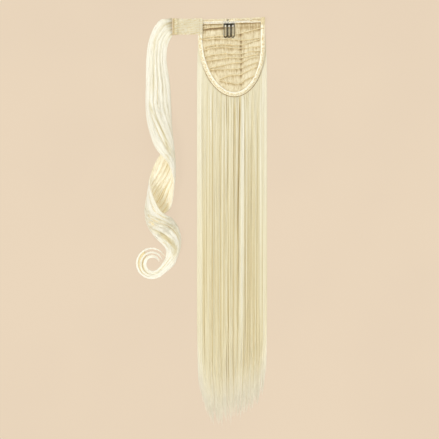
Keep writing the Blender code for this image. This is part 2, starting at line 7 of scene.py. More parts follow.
import bmesh
import bpy
import numpy as np
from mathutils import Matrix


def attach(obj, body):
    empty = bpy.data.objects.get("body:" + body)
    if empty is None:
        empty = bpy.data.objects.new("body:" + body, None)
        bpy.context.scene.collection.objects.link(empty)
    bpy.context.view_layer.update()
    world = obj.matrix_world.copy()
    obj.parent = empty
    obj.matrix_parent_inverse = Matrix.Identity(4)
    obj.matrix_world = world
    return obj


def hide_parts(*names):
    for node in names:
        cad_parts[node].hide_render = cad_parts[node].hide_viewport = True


MM = 0.001
PIXEL = 1.5 * MM
PHOTO_ORIGIN = (231.5, 57.2)  # the pixel over the frame's origin
GAP = 0.3 * MM

# The same sizes as in the CAD model.
BASE_WIDTH = 100.5 * MM
BASE_LENGTH = 119.4 * MM
BASE_STRAIGHT = 36.0 * MM
BASE_LEAN = 4.0 * MM
BASE_ROUNDING = 1.98
SIDE_STEPS = 16
HEM_FALL = 3.7 * MM
CREASE_ACROSS = 14.0 * MM
BINDING_WIDTH = 6.6 * MM
HEM_WIDTH = 7.5 * MM
TAPE_BACK = 1.3 * MM
NET_FLOOR = 1.6 * MM
NET_CEILING = 2.6 * MM
TAPE_CEILING = 3.9 * MM
COMB_ACROSS = -3.6 * MM
STRAP_WIDTH = 24.0 * MM
STRAP_THICKNESS = 2.0 * MM
STRAP_REACH = 38.0 * MM
STRAP_LAP = 7.0 * MM
STRAP_DROP = 1.6 * MM
STRAP_SLOPE = 15.0 * MM
STRAP_LEVEL = 1.0 * MM
END_BAND_WIDTH = 7.5 * MM
OVERALL_LENGTH = 612.0 * MM
HAIR_WIDTH = 105.0 * MM
HAIR_DEPTH = 15.0 * MM
HAIR_EDGE = 1.3 * MM
HAIR_ACROSS = 0.75 * MM
BED_FLATNESS = 2.4
LOCK_REACH = 66.0 * MM
LOCK_DROP = 391.0 * MM
LOCK_RADIUS = 18.75 * MM
LOCK_THICKNESS = 3.2 * MM
LOCK_FLATNESS = 0.68
LOCK_EDGE = 0.35
ROOT_ROWS = 2
CURL_RADIUS = 18.0 * MM
CURL_WIDTH = 10.4 * MM
CURL_TIP = 0.25
CURL_ARC = np.radians(56)
CURL_START = np.radians(38)
CURL_END = np.radians(325)
CURL_TAIL = np.radians(20)
CURL_ACROSS = 0.461
CURL_DOWN = 0.907

# Clumps of the lock: places across its arc, and where each lies across the ring (mm outwards).
LOCK_CLUMPS = (-0.92, -0.66, -0.38, -0.12, 0.16, 0.42, 0.68, 0.92)
RING_BUNCHES = (-7.4, -7.0, -6.5, -6.0, -1.8, -1.2, 3.8, 4.3)
PILE_FIBRES = 3800

# Points on each strand of the fall and of the lock, and how thin a strand's ends are.
FALL_POINTS = 12
LOCK_POINTS = 46
STRAND_PINCH = 0.25

# Camera and light: the lights' names, strengths, angles and tilts.
CAMERA_PLACE = (-0.018, -0.24345, 3.0)
CAMERA_LENS = 164.0
CAMERA_SENSOR = 36.0
STUDIO_COLOUR = (1.0, 0.985, 0.95, 1)
STUDIO_LIGHT = 0.80
BACKDROP_GLOW = 0.885
BACKDROP_REACH = 4
LAMPS = (("key", 1.5, 25, (18, -32, 0)), ("fill", 0.5, 60, (-20, 30, 0)))

BASE_TOP = BASE_LENGTH / 2
STRAP_END = -BASE_WIDTH / 2 - STRAP_REACH

# Hair profile: share of the length down, crown's share of HAIR_DEPTH, share of HAIR_WIDTH.
HAIR_PROFILE = np.array((
    (0.000, 0.06, 0.95), (0.040, 0.18, 0.955), (0.100, 0.52, 0.99), (0.190, 0.82, 1.00),
    (0.300, 1.00, 1.00), (0.520, 0.96, 1.00), (0.720, 0.80, 1.00), (0.830, 0.60, 0.98),
    (0.920, 0.38, 0.88), (1.000, 0.16, 0.72),
))

# Winding lock: across, down, radius, half arc and turn, as in the CAD model.
LOCK_BENDS = (
    (0.000, 0.000, 1.12, 35, 0), (0.060, 0.000, 1.07, 37, 0), (0.168, 0.012, 1.11, 42, 0),
    (0.302, 0.050, 0.98, 50, 0), (0.366, 0.122, 0.91, 58, 0), (0.330, 0.226, 1.01, 68, 0),
    (0.318, 0.315, 1.00, 82, 2), (0.295, 0.403, 0.99, 85, 37), (0.252, 0.478, 1.00, 96, 82),
    (0.234, 0.510, 1.00, 94, 112), (0.228, 0.575, 1.00, 94, 156), (0.250, 0.617, 1.00, 102, 190),
    (0.285, 0.663, 1.00, 118, 215), (0.316, 0.694, 1.00, 122, 238), (0.322, 0.717, 1.00, 114, 266),
    (0.286, 0.744, 1.00, 98, 318), (0.205, 0.768, 0.99, 88, 350), (0.113, 0.793, 0.96, 86, 368),
    (0.057, 0.821, 0.88, 80, 388), (0.030, 0.848, 0.70, 76, 405), (0.044, 0.875, 0.55, 70, 395),
    (0.082, 0.901, 0.48, 60, 375),
)

# How far the strands reach at a place across the hair (-1 to 1), as a share of the length.
TIP_LINE = np.array((
    (-1.0, 0.88), (-0.97, 0.935), (-0.93, 0.965), (-0.87, 0.985), (-0.71, 1.0), (-0.43, 1.014),
    (-0.1, 1.012), (0.39, 1.003), (0.64, 0.985), (0.83, 0.962), (0.93, 0.935), (1.0, 0.88),
))

# Streaks of the fall seen in the photo: x at the top and the bottom, y from and to, half width
# (all pixels) and how much darker (-) or lighter (+) they are. The darker ones are partly painted
# shade in the valleys between bundles, the lighter ones partly painted highlights on their crests.
FALL_STREAKS = (
    (203.2, 203.0, 110, 330, 0.5, -0.16), (204.8, 204.6, 180, 400, 0.5, -0.12),
    (207.4, 206.4, 86, 300, 0.6, -0.20), (210.9, 210.9, 88, 125, 0.8, 0.25),
    (212.4, 212.2, 92, 370, 0.55, -0.26), (215.4, 215.2, 110, 330, 0.8, -0.08),
    (218.2, 218.0, 95, 330, 0.5, -0.16), (220.4, 220.6, 98, 360, 0.6, -0.20),
    (224.2, 224.0, 100, 330, 0.5, -0.20), (228.4, 228.4, 102, 420, 0.6, -0.22),
    (231.4, 231.2, 102, 250, 0.5, -0.12), (234.4, 233.6, 100, 170, 0.8, -0.40),
    (233.6, 233.4, 160, 420, 0.6, -0.22), (240.1, 237.7, 96, 215, 0.8, -0.62),
    (237.7, 237.4, 200, 370, 0.6, -0.22), (242.8, 241.4, 98, 330, 1.5, 0.24),
    (245.4, 245.2, 120, 400, 0.5, -0.16), (250.3, 250.0, 130, 400, 0.6, -0.30),
    (252.4, 251.0, 100, 300, 0.5, -0.22), (257.4, 256.6, 110, 400, 0.55, -0.26),
    (260.9, 260.0, 90, 330, 0.9, 0.20), (263.2, 262.2, 110, 400, 0.5, -0.22),
    (248.0, 247.6, 150, 400, 0.5, -0.14), (254.2, 253.6, 150, 400, 0.6, -0.12),
    (246.9, 246.0, 110, 300, 0.7, 0.14), (226.2, 226.2, 100, 300, 0.7, 0.10),
    (222.4, 222.4, 100, 300, 0.6, 0.12), (199.6, 199.4, 60, 430, 2.0, 0.10),
    (264.6, 264.4, 60, 430, 1.6, 0.12),
)

# Streaks of the lock: a line through pixels, half width in pixels, and change of tone. The dark
# ones are partly painted shade between the strands at the root, in the valleys and inside the
# curl; the light ones are partly painted highlights.
LOCK_STREAKS = (
    (((172, 19.2), (168, 19.4)), 0.6, -0.40), (((172, 23.4), (169, 22.2)), 0.7, -0.60),
    (((172, 26.1), (169, 24.9)), 0.7, -0.60), (((172, 29.7), (169, 29.7)), 0.7, -0.60),
    (((172, 34.2), (169.7, 35.7)), 0.8, -0.60),
    (((169, 22.2), (166, 21.9), (163.5, 23.8)), 0.6, -0.26),
    (((169, 24.9), (165, 25.4), (160.8, 30.6)), 0.6, -0.26),
    (((169, 29.7), (164.6, 31.3), (161, 38)), 0.6, -0.24),
    (((169.7, 35.7), (167.2, 39.5), (165.5, 45)), 0.7, -0.30),
    (((155.0, 38), (154.2, 62), (153.8, 90)), 0.8, -0.30),
    (((158.6, 34), (157.0, 60), (158.8, 84)), 0.8, -0.14),
    (((154.4, 54), (155.7, 73), (159.5, 89), (163.4, 99.5)), 0.6, 0.20),
    (((150, 106), (158.3, 123), (164, 134.6), (167.8, 147.4), (169.1, 157)), 0.9, -0.40),
    (((150.6, 96), (155.7, 122), (164, 140)), 1.4, 0.22),
    (((171.7, 160), (168.5, 179)), 1.2, 0.20), (((168.6, 150), (168.4, 170)), 1.6, -0.36),
    (((157, 150), (155, 160), (152, 173)), 1.0, -0.26),
    (((163.4, 184), (157.5, 200), (155.2, 208)), 0.5, -0.40),
    (((149.5, 192), (152, 206)), 0.5, -0.12),
    (((166.6, 186), (162, 199), (158.9, 210.6)), 0.5, -0.46),
    (((169, 190), (166, 200), (162, 212)), 0.5, -0.40),
    (((168.5, 203.6), (163.4, 213.9)), 0.6, -0.40), (((160.4, 187), (154.6, 204)), 0.6, -0.20),
    (((165, 194), (160, 208)), 0.5, 0.25), (((161.6, 190), (156.4, 205)), 0.5, 0.22),
    (((168, 197), (163, 210)), 0.5, 0.20), (((150.5, 184), (149.4, 198), (156, 212)), 1.4, 0.15),
    (((147.4, 214.4), (158.3, 218.9), (168.5, 223.4), (176.1, 228.5), (179.9, 237.4)), 0.55, -0.34),
    (((147.4, 219.5), (160.8, 224.6), (172.9, 229.1), (179.3, 235.5)), 0.5, -0.28),
    (((150, 224), (162, 229), (173, 234.5), (178.6, 241)), 1.0, 0.10),
    (((163.4, 217), (172.5, 222.5), (178.6, 230)), 0.5, -0.22),
    (((154.4, 229.7), (164.6, 234.8), (173, 240.6), (177.6, 248)), 0.9, -0.34),
    (((163.4, 236), (171, 242.5), (176, 248.5), (175.8, 254)), 1.5, -0.50),
    (((160.8, 237), (167.2, 245), (172.3, 250.2), (174.2, 256), (173.4, 261)), 0.6, -0.46),
    (((158.6, 236.4), (165.2, 244.6), (170, 252)), 0.8, 0.15),
    (((169.4, 254), (165.8, 260)), 0.35, -0.55), (((170.8, 257), (167.4, 262)), 0.35, -0.50),
    (((168.8, 251.5), (165, 257)), 0.35, -0.45), (((171.8, 260), (168.6, 264.4)), 0.35, -0.45),
    (((142.3, 262.3), (144.2, 269.3), (150, 275.2), (155.7, 274.6), (161.5, 269.3), (166, 262.9)),
     0.5, -0.42),
    (((139.6, 258), (141.4, 268), (147.6, 275.8), (154, 277)), 0.5, -0.24),
    (((144.4, 259), (150.6, 255.6), (157, 256.6)), 0.4, -0.28),
)

# Tracks on the net as the photo shows them, in pixels from the strap's side to the other.
TRACK_LINES = (
    ((203.2, 29.3), (213.4, 27.5), (223.2, 26.8)),
    ((203.9, 38.1), (210.6, 37.0), (223.2, 36.0), (235.9, 34.6), (242.2, 33.2), (252.7, 30.3),
     (263.6, 28.0)),
    ((198.7, 38.4), (204.3, 39.8), (214.1, 39.1), (231.6, 39.5), (240.8, 40.5), (249.2, 39.8),
     (259.7, 38.1)),
    ((204.6, 47.5), (210.6, 45.8), (221.1, 44.7), (240.8, 45.4), (249.2, 43.0), (259.7, 39.5)),
    ((204.3, 50.7), (210.6, 48.6), (221.1, 47.5), (240.8, 48.6), (256.9, 46.8), (259.7, 46.4)),
    ((205.3, 57.0), (212.7, 55.3), (224.6, 54.2), (240.8, 54.2), (249.2, 52.1), (260.2, 51.4)),
    ((207.0, 60.9), (219.7, 59.8), (228.1, 58.1), (240.8, 58.4), (249.2, 56.3), (258.6, 54.2)),
    ((210.4, 68.2), (219.7, 66.5), (235.2, 63.3), (242.2, 62.6), (249.2, 59.1), (258.6, 57.0)),
    ((211.0, 70.3), (221.1, 70.0), (240.8, 68.6), (249.2, 65.4), (258.0, 62.3)),
    ((219.7, 79.5), (231.6, 75.6), (240.8, 75.2), (245.7, 72.4), (257.0, 66.8)),
    ((219.7, 80.9), (228.1, 83.0), (240.8, 83.7), (245.7, 80.2), (254.8, 76.0)),
)

# Threads of each track: place above its line, radius, tone, zigzag (lengths in mm). The dark gold
# threads below the line, set lower, are partly painted shade under the welt.
TRACK_THREADS = (
    (0.45, 0.34, 0.78, 0.10), (0.05, 0.36, 0.66, 0.14), (0.25, 0.24, 0.90, 0.30),
    (-0.55, 0.24, 0.40, 0.16), (-0.95, 0.20, 0.26, 0.20), (0.0, 0.15, 0.30, 0.60),
)

# Light that scatters through the strands from below and beside them: its strength, that of the
# lock's inner strands, its colour, and its colour at the tips.
PASSED_LIGHT = 0.30
INNER_LIGHT = 2.2 * PASSED_LIGHT
PASSED_COLOUR = (0.345, 0.272, 0.142)
THIN_COLOUR = (0.68, 0.63, 0.50)

# Hair colours from the darkest tone to the palest, and the tone of each.
DEEP, GOLD, TAN = (0.27, 0.185, 0.07), (0.51, 0.40, 0.17), (0.63, 0.57, 0.37)
CREAM, WHITE = (0.73, 0.70, 0.55), (0.82, 0.815, 0.74)
HAIR_STOPS = ((0.0, DEEP), (0.26, GOLD), (0.50, TAN), (0.74, CREAM), (0.97, WHITE))


def px(x, y):
    """Place of a photo pixel in the frame."""
    return (x - PHOTO_ORIGIN[0]) * PIXEL, (PHOTO_ORIGIN[1] - y) * PIXEL


def smooth(places, values, place):
    """Smooth curve through values at places, as in the CAD model."""
    places, values = np.asarray(places, float), np.asarray(values, float)
    place = np.clip(place, places[0], places[-1])
    i = np.clip(np.searchsorted(places, place, side="right") - 1, 0, len(places) - 2)
    slopes = np.diff(values) / np.diff(places)
    tangents = np.concatenate((slopes[:1], (slopes[:-1] + slopes[1:]) / 2, slopes[-1:]))
    step = places[i + 1] - places[i]
    t = (place - places[i]) / step
    rise = values[i + 1] - values[i]
    start, end = tangents[i] * step - rise, tangents[i + 1] * step - rise
    return values[i] + rise * t + t * (1 - t) * ((1 - t) * start - t * end)


def soft_step(low, high, value):
    """0 below low, 1 above high, smooth between; low may be above high."""
    share = np.clip((value - low) / (high - low), 0, 1)
    return share * share * (3 - 2 * share)


def bed(x, y):
    """Height of the upper side of the hair."""
    down = (BASE_TOP - y) / OVERALL_LENGTH
    crown = np.maximum(HAIR_DEPTH * smooth(HAIR_PROFILE[:, 0], HAIR_PROFILE[:, 1], down), HAIR_EDGE)
    share = np.minimum(np.abs(x - HAIR_ACROSS) / (HAIR_WIDTH / 2), 1)
    return HAIR_EDGE + (crown - HAIR_EDGE) * (1 - share**BED_FLATNESS)


def half_width(y):
    """Half the width of the straight hair."""
    down = (BASE_TOP - y) / OVERALL_LENGTH
    return HAIR_WIDTH / 2 * smooth(HAIR_PROFILE[:, 0], HAIR_PROFILE[:, 2], down)


def hem_line(x):
    """y of the base's upper edge."""
    return BASE_TOP - HEM_FALL * (0.5 - x / BASE_WIDTH)


def base_outline(inset, steps=160):
    """Points of the base's edge from the strap's side round the bottom, moved inwards."""
    corner = BASE_TOP - BASE_STRAIGHT
    angle = np.pi * np.arange(steps + 1) / steps
    down = np.abs(np.sin(angle)) ** (2 / BASE_ROUNDING)
    out = -np.sign(np.cos(angle)) * np.abs(np.cos(angle)) ** (2 / BASE_ROUNDING)
    x = BASE_WIDTH / 2 * out + BASE_LEAN * down
    y = corner - (BASE_LENGTH - BASE_STRAIGHT) * down
    side = corner + BASE_STRAIGHT * np.arange(SIDE_STEPS, 0, -1) / SIDE_STEPS
    x = np.concatenate((np.full(SIDE_STEPS, x[0]), x, np.full(SIDE_STEPS, x[-1])))
    y = np.concatenate((side, y, side[::-1]))
    points = np.stack((x, y), axis=1)
    along = np.empty_like(points)
    along[1:-1] = points[2:] - points[:-2]
    along[0], along[-1] = points[1] - points[0], points[-1] - points[-2]
    along /= np.linalg.norm(along, axis=1, keepdims=True)
    return points + inset * np.stack((-along[:, 1], along[:, 0]), axis=1)


def side_x(side, y, inset):
    """x of the base's edge, moved inwards, on the strap's side (-1) or the other (1)."""
    points = base_outline(inset)
    lowest = int(np.argmin(points[:, 1]))
    branch = points[: lowest + 1][::-1] if side < 0 else points[lowest:]
    return np.interp(y, branch[:, 1], branch[:, 0])


def edge_y(x, inset):
    """y of the base's lower edge at x."""
    points = base_outline(inset)
    lower = points[np.argsort(points[:, 0])]
    return np.interp(x, lower[:, 0], lower[:, 1])


class Value:
    """A shader socket that takes part in formulas; every operator adds one Math node."""

    def __init__(self, finish, socket):
        self.finish, self.socket = finish, socket

    def math(self, operation, *others, swap=False):
        values = [self, *others]
        if swap:
            values.reverse()
        return self.finish.node("Math", {"operation": operation}, dict(enumerate(values)))

    def __add__(self, other):
        return self.math("ADD", other)

    def __sub__(self, other):
        return self.math("SUBTRACT", other)

    def __mul__(self, other):
        return self.math("MULTIPLY", other)

    def __rsub__(self, other):
        return self.math("SUBTRACT", other, swap=True)

    __radd__, __rmul__ = __add__, __mul__

    def sine(self):
        return self.math("SINE")

    def step(self, low, high):
        """0 below low, 1 above high, smooth between."""
        settings = {"interpolation_type": "SMOOTHSTEP"}
        inputs = {"Value": self, "From Min": low, "From Max": high}
        return self.finish.node("MapRange", settings, inputs)


class Finish:
    """One procedural material with a Principled shader."""

    def __init__(self, name, roughness=0.7, sheen=0.0, coat=0.0):
        self.material = bpy.data.materials.new(name)
        self.material.use_nodes = True
        self.tree = self.material.node_tree
        self.shader = self.tree.nodes["Principled BSDF"]
        for socket, value in (("Roughness", roughness), ("Sheen Weight", sheen),
                              ("Coat Weight", coat)):
            self.shader.inputs[socket].default_value = value

    def connect(self, value, socket):
        if isinstance(value, Value):
            self.tree.links.new(value.socket, socket)
        elif isinstance(value, (tuple, list)) and len(value) == 3 and socket.type == "RGBA":
            socket.default_value = (*value, 1)
        else:
            socket.default_value = value

    def node(self, kind, settings, inputs, output=0):
        node = self.tree.nodes.new("ShaderNode" + kind)
        stops = settings.pop("stops", None)
        for name, value in settings.items():
            setattr(node, name, value)
        if stops:
            ramp = node.color_ramp
            while len(ramp.elements) < len(stops):
                ramp.elements.new(0.5)
            for element, (place, colour) in zip(ramp.elements, stops):
                element.position, element.color = place, (*colour, 1)
        for name, value in inputs.items():
            self.connect(value, node.inputs[name])
        return Value(self, node.outputs[output])

    def place(self):
        """x, y and z of the shaded point."""
        where = self.node("NewGeometry", {}, {}, "Position")
        return [self.node("SeparateXYZ", {}, {0: where}, axis) for axis in "XYZ"]

    def chart(self):
        """The piece's own two coordinates, across or tone, and along."""
        where = self.node("UVMap", {"uv_map": "OFBake"}, {})
        return [self.node("SeparateXYZ", {}, {0: where}, axis) for axis in "XY"]

    def noise(self, x, y, z=0.0, detail=2.0):
        """Noise from 0 to 1 whose grain is set by what x, y and z are multiplied with."""
        where = self.node("CombineXYZ", {}, {0: x, 1: y, 2: z})
        inputs = {"Vector": where, "Scale": 1.0, "Detail": detail}
        return self.node("TexNoise", {}, inputs, 0)

    def ramp(self, value, *stops):
        """Colour of a value, from (value, colour) stops."""
        return self.node("ValToRGB", {"stops": stops}, {0: value})

    def mix(self, factor, first, second):
        """The first colour at 0, the second at 1."""
        settings = {"data_type": "RGBA", "clamp_factor": True}
        return self.node("Mix", settings, {0: factor, 6: first, 7: second}, 2)

    def glow(self, colour, strength):
        """Lets the piece give off light, for light that it passes on."""
        self.connect(colour, self.shader.inputs["Emission Color"])
        self.shader.inputs["Emission Strength"].default_value = strength

    def paint(self, colour, roughness=None, height=None, lift=1.0, depth=0.0005):
        """Connects the colour, roughness and relief, and gives the material."""
        self.connect(colour, self.shader.inputs["Base Color"])
        if roughness is not None:
            self.connect(roughness, self.shader.inputs["Roughness"])
        if height is not None:
            inputs = {"Height": height, "Strength": lift, "Distance": depth}
            self.connect(self.node("Bump", {}, inputs), self.shader.inputs["Normal"])
        return self.material


def hair_finish(name, stops, roughness=0.42, passed=PASSED_LIGHT):
    """Strands coloured by their tone, paler at the tips, where they are thin and pass light."""
    finish = Finish(name, roughness=roughness, sheen=0.15)
    tone, along = finish.chart()
    colour = finish.ramp(tone, *stops)
    thin = along.step(0.88, 1.0)
    tips = finish.mix(thin * 0.6, colour, (0.88, 0.86, 0.79))
    finish.glow(finish.mix(thin, PASSED_COLOUR, THIN_COLOUR), passed)
    gloss = finish.noise(tone * 40, along * 6) * 0.16 + (roughness - 0.08)
    return finish.paint(tips, gloss)


def net_finish():
    """Sheer stretched net: hair shows through as fine upright streaks; the mesh's shade attribute
    holds random streaks, painted shade and painted highlights.
    """
    finish = Finish("net_mesh", roughness=0.85, sheen=0.2)
    x, y, _ = finish.place()
    fine = finish.noise(x * 1500, y * 160, 2.0, detail=3.0)
    broad = finish.noise(x * 300, y * 260, 5.0, detail=3.0)
    shade = finish.node("Attribute", {"attribute_name": "shade"}, {}, "Fac")
    level = fine * 0.50 + broad * 0.55 + 0.06 + shade
    colour = finish.ramp(level, (0.05, (0.22, 0.145, 0.065)), (0.30, (0.46, 0.345, 0.175)),
                         (0.56, (0.66, 0.565, 0.36)), (0.84, (0.81, 0.74, 0.54)))
    weave = (x * 7000).sine() * (y * 7000).sine()
    return finish.paint(colour, 0.75 + broad * 0.2, weave * 0.4 + fine * 0.6, 0.4, 0.0004)


def track_finish():
    """Sewn tracks on the net: gold thread with pale flecks."""
    finish = Finish("track_thread", roughness=0.7)
    tone, along = finish.chart()
    fleck = finish.noise(along * 60, tone * 9, 1.0, detail=2.0)
    level = fleck * 0.5 + tone * 0.6
    colour = finish.ramp(level, (0.2, (0.56, 0.41, 0.17)), (0.48, (0.76, 0.61, 0.32)),
                         (0.72, (0.88, 0.78, 0.51)), (0.95, (0.95, 0.90, 0.72)))
    return finish.paint(colour)


def tape_finish(name, bright, base, fleck, edge=0.5):
    """Folded tape of soft knit: a bright inner band, and gold flecks of thread outside it."""
    finish = Finish(name, roughness=0.8, sheen=0.3)
    across, along = finish.chart()
    grain = finish.noise(along * 900, across * 60, 1.0, detail=2.0)
    patch = finish.noise(along * 90, across * 14, 4.0, detail=3.0)
    inner = across.step(edge - 0.03, edge + 0.03)
    level = patch * 1.5 + grain * 0.30 - 0.42 + inner * 0.20
    colour = finish.ramp(level, (0.24, fleck), (0.46, base), (0.74, bright))
    rib = (along * 1300).sine() * 0.3 + grain * 0.7
    return finish.paint(colour, 0.75 + patch * 0.15, rib, 0.4, 0.0003)


def strap_finish():
    """Ground of the loop strap, below its pile."""
    finish = Finish("strap_ground", roughness=0.9, sheen=0.4)
    x, y, _ = finish.place()
    bands = finish.noise(x * 130, y * 620, 3.0, detail=4.0)
    pile = finish.noise(x * 2600, y * 2600, 3.0, detail=2.0)
    low = 1.0 - y.step(0.0355, 0.0400)
    level = bands * 0.75 + pile * 0.35 - low * 0.18
    colour = finish.ramp(level, (0.20, (0.60, 0.44, 0.18)), (0.40, (0.82, 0.69, 0.40)),
                         (0.60, (0.90, 0.81, 0.56)), (0.85, (0.95, 0.90, 0.72)))
    return finish.paint(colour, 0.9, pile, 0.8, 0.0006)


def thread_finish(name, first, second, third):
    """Sewing thread with its twist."""
    finish = Finish(name, roughness=0.6)
    tone, along = finish.chart()
    twist = (along * 90 + tone * 30).sine() * 0.12
    return finish.paint(finish.ramp(tone + twist, (0.1, first), (0.5, second), (0.9, third)))


def wire_finish():
    """Black lacquered wire, worn to grey in patches, with fine scratches."""
    finish = Finish("comb_wire", roughness=0.34, coat=0.15)
    x, y, z = finish.place()
    wear = finish.noise(x * 900, y * 500, z * 900, detail=3.0)
    scratch = finish.noise(x * 5000, y * 700, z * 5000, detail=2.0)
    colour = finish.ramp(wear, (0.40, (0.005, 0.004, 0.003)), (0.68, (0.014, 0.011, 0.008)),
                         (0.86, (0.06, 0.05, 0.035)))
    finish.shader.inputs["Specular IOR Level"].default_value = 0.25
    return finish.paint(colour, wear * 0.2 + 0.24, scratch, 0.12, 0.0001)


def surface_finish():
    """The plain warm beige surface, evenly lit as in the photo."""
    finish = Finish("backdrop_paper", roughness=0.95)
    x, y, _ = finish.place()
    grain = finish.noise(x * 5, y * 5, 1.0, detail=2.0)
    glow = finish.mix(grain.step(0.3, 0.7), (0.812, 0.667, 0.506), (0.832, 0.684, 0.516))
    finish.connect((0.07, 0.055, 0.04), finish.shader.inputs["Base Color"])
    finish.glow(glow, BACKDROP_GLOW)
    finish.shader.inputs["Specular IOR Level"].default_value = 0.0
    return finish.material


def put(name, mesh, material, slot_name, *nodes):
    """Adds a piece that rides on the body, and stands for the CAD nodes named."""
    piece = bpy.data.objects.new(name, mesh)
    bpy.context.collection.objects.link(piece)
    mesh.materials.append(material)
    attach(piece, "root")
    if nodes:
        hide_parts(*nodes)
    return piece


def fill_mesh(name, points, faces, chart):
    """Mesh from points and a list of face arrays, with the chart's coordinates of each corner."""
    mesh = bpy.data.meshes.new(name)
    mesh.vertices.add(len(points))
    mesh.vertices.foreach_set("co", np.asarray(points, np.float32).ravel())
    corners = np.concatenate([face.ravel() for face in faces])
    sizes = np.concatenate([np.full(len(face), face.shape[1]) for face in faces])
    mesh.loops.add(len(corners))
    mesh.loops.foreach_set("vertex_index", corners.astype(np.int32))
    mesh.polygons.add(len(sizes))
    starts = np.concatenate(((0,), np.cumsum(sizes)[:-1]))
    mesh.polygons.foreach_set("loop_start", starts.astype(np.int32))
    layer = mesh.uv_layers.new(name="OFBake")
    layer.data.foreach_set("uv", np.asarray(chart, np.float32).ravel())
    mesh.update(calc_edges=True)
    mesh.shade_smooth()
    return mesh


def strands(name, paths, radii, tones, material, slot_name, nodes=()):
    """A piece of thin strands, three-sided tubes along paths[strand, point]."""
    count, length = paths.shape[:2]
    tones = np.clip(np.broadcast_to(tones, (count, length)), 0.02, 0.98)
    along = np.gradient(paths, axis=1)
    along /= np.linalg.norm(along, axis=2, keepdims=True) + 1e-12
    side = np.cross(along, (0.0, 0.0, 1.0))
    norm = np.linalg.norm(side, axis=2, keepdims=True)
    side = np.where(norm > 1e-4, side / np.maximum(norm, 1e-9), (1.0, 0.0, 0.0))
    down = np.cross(along, side)
    shape = np.ones(length)
    shape[0] = shape[-1] = STRAND_PINCH
    width = (np.broadcast_to(radii, (count, length)) * shape)[..., None]
    rings = [paths + width * (np.cos(a) * side + np.sin(a) * down)
             for a in np.radians((-90, 30, 150))]
    points = np.stack(rings, axis=2).reshape(-1, 3)
    first = (np.arange(count) * length * 3)[:, None, None]
    near = first + (np.arange(length - 1) * 3)[None, :, None] + np.arange(3)[None, None, :]
    turned = first + (np.arange(length - 1) * 3)[None, :, None] + (np.arange(3) + 1)[None, None] % 3
    quads = np.stack((near, turned, turned + 3, near + 3), axis=-1).reshape(-1, 4)
    start = np.arange(count) * length * 3
    end = start + (length - 1) * 3
    caps = np.concatenate((np.stack((start, start + 2, start + 1), axis=1),
                           np.stack((end, end + 1, end + 2), axis=1)))
    share = np.linspace(0.02, 0.98, length)
    spots = np.stack((tones, np.broadcast_to(share, (count, length))), axis=-1)
    spots = np.repeat(spots[:, :, None, :], 3, axis=2).reshape(-1, 2)
    chart = spots[quads]
    chart[:, (0, 3), 0] -= 0.003
    chart[:, (1, 2), 0] += 0.003
    chart_caps = spots[caps]
    chart_caps[:, 1, 0] += 0.003
    chart_caps[:, 2, 1] += 0.003
    both = np.concatenate((chart.reshape(-1, 2), chart_caps.reshape(-1, 2)))
    mesh = fill_mesh(name, points, [quads, caps], both)
    return put(name, mesh, material, slot_name, *nodes)


def body(name, rings, material, slot_name, *nodes):
    """A closed body through rings[ring, point], each a closed loop, with flat ends."""
    rings = np.asarray(rings, float)
    count, around = rings.shape[:2]
    i, k = np.meshgrid(np.arange(count - 1), np.arange(around), indexing="ij")
    n = (k + 1) % around
    quads = np.stack((i * around + k, i * around + n, (i + 1) * around + n, (i + 1) * around + k),
                     axis=-1).reshape(-1, 4)
    ends = np.stack((np.arange(around)[::-1], np.arange(around) + (count - 1) * around))
    u = np.stack((k, k + 1, k + 1, k), axis=-1).reshape(-1) / around
    v = np.stack((i, i, i + 1, i + 1), axis=-1).reshape(-1) / (count - 1)
    turn = 2 * np.pi * np.arange(around) / around
    cap = np.stack((0.5 + 0.004 * np.cos(turn), 0.006 + 0.004 * np.sin(turn)), axis=1)
    chart = np.concatenate((np.stack((u, 0.01 + 0.98 * v), axis=1), cap, cap))
    mesh = fill_mesh(name, rings.reshape(-1, 3), [quads, ends], chart)
    builder = bmesh.new()
    builder.from_mesh(mesh)
    bmesh.ops.recalc_face_normals(builder, faces=builder.faces)
    builder.to_mesh(mesh)
    builder.free()
    return put(name, mesh, material, slot_name, *nodes)


class Threads:
    """Short threads, each with its tone, that make up one piece."""

    def __init__(self):
        self.paths, self.tones = [], []

    def add(self, x, y, z, tone):
        self.paths.append(np.column_stack((x, y, z)))
        self.tones.append(tone)

    def sew(self, name, radius, material, slot_name):
        tones = np.array(self.tones)[:, None]
        return strands(name, np.array(self.paths), radius, tones, material, slot_name)


def fall_shade(x, y):
    """Change of tone over the fall of hair, from the streaks of the photo: partly painted shade and
    highlights.
    """
    shade = np.zeros(np.broadcast(x, y).shape)
    for top, bottom, start, end, half, change in FALL_STREAKS:
        (x0, y0), (x1, y1) = px(top, start), px(bottom, end)
        share = np.clip((y - y0) / (y1 - y0), 0, 1)
        off = (x - (x0 + (x1 - x0) * share)) / (half * PIXEL)
        fade = 26 * PIXEL
        window = soft_step(y0 + fade * 0.3, y0 - fade * 0.3, y) * soft_step(y1 - fade, y1 + fade, y)
        shade += change * np.exp(-off * off) * window
    return shade


def hair_clumps(random, count):
    """Centres, half widths, heights, tones and drifts of the bundles that the hair falls in."""
    widths = random.uniform(0.5, 1.6, count)
    edges = np.concatenate(((0,), np.cumsum(widths))) / widths.sum() * 2 - 1
    return {
        "centre": (edges[1:] + edges[:-1]) / 2,
        "half": (edges[1:] - edges[:-1]) / 2,
        "height": random.uniform(-0.5, 0.5, count),
        "tone": random.normal(0, 0.05, count),
        "drift": random.uniform(0.2, 1.5, count) * MM,
        "cut": random.uniform(0.0, 0.045, count),
        "turns": random.uniform(0.4, 1.3, count),
        "phase": random.uniform(0, 2 * np.pi, count),
    }


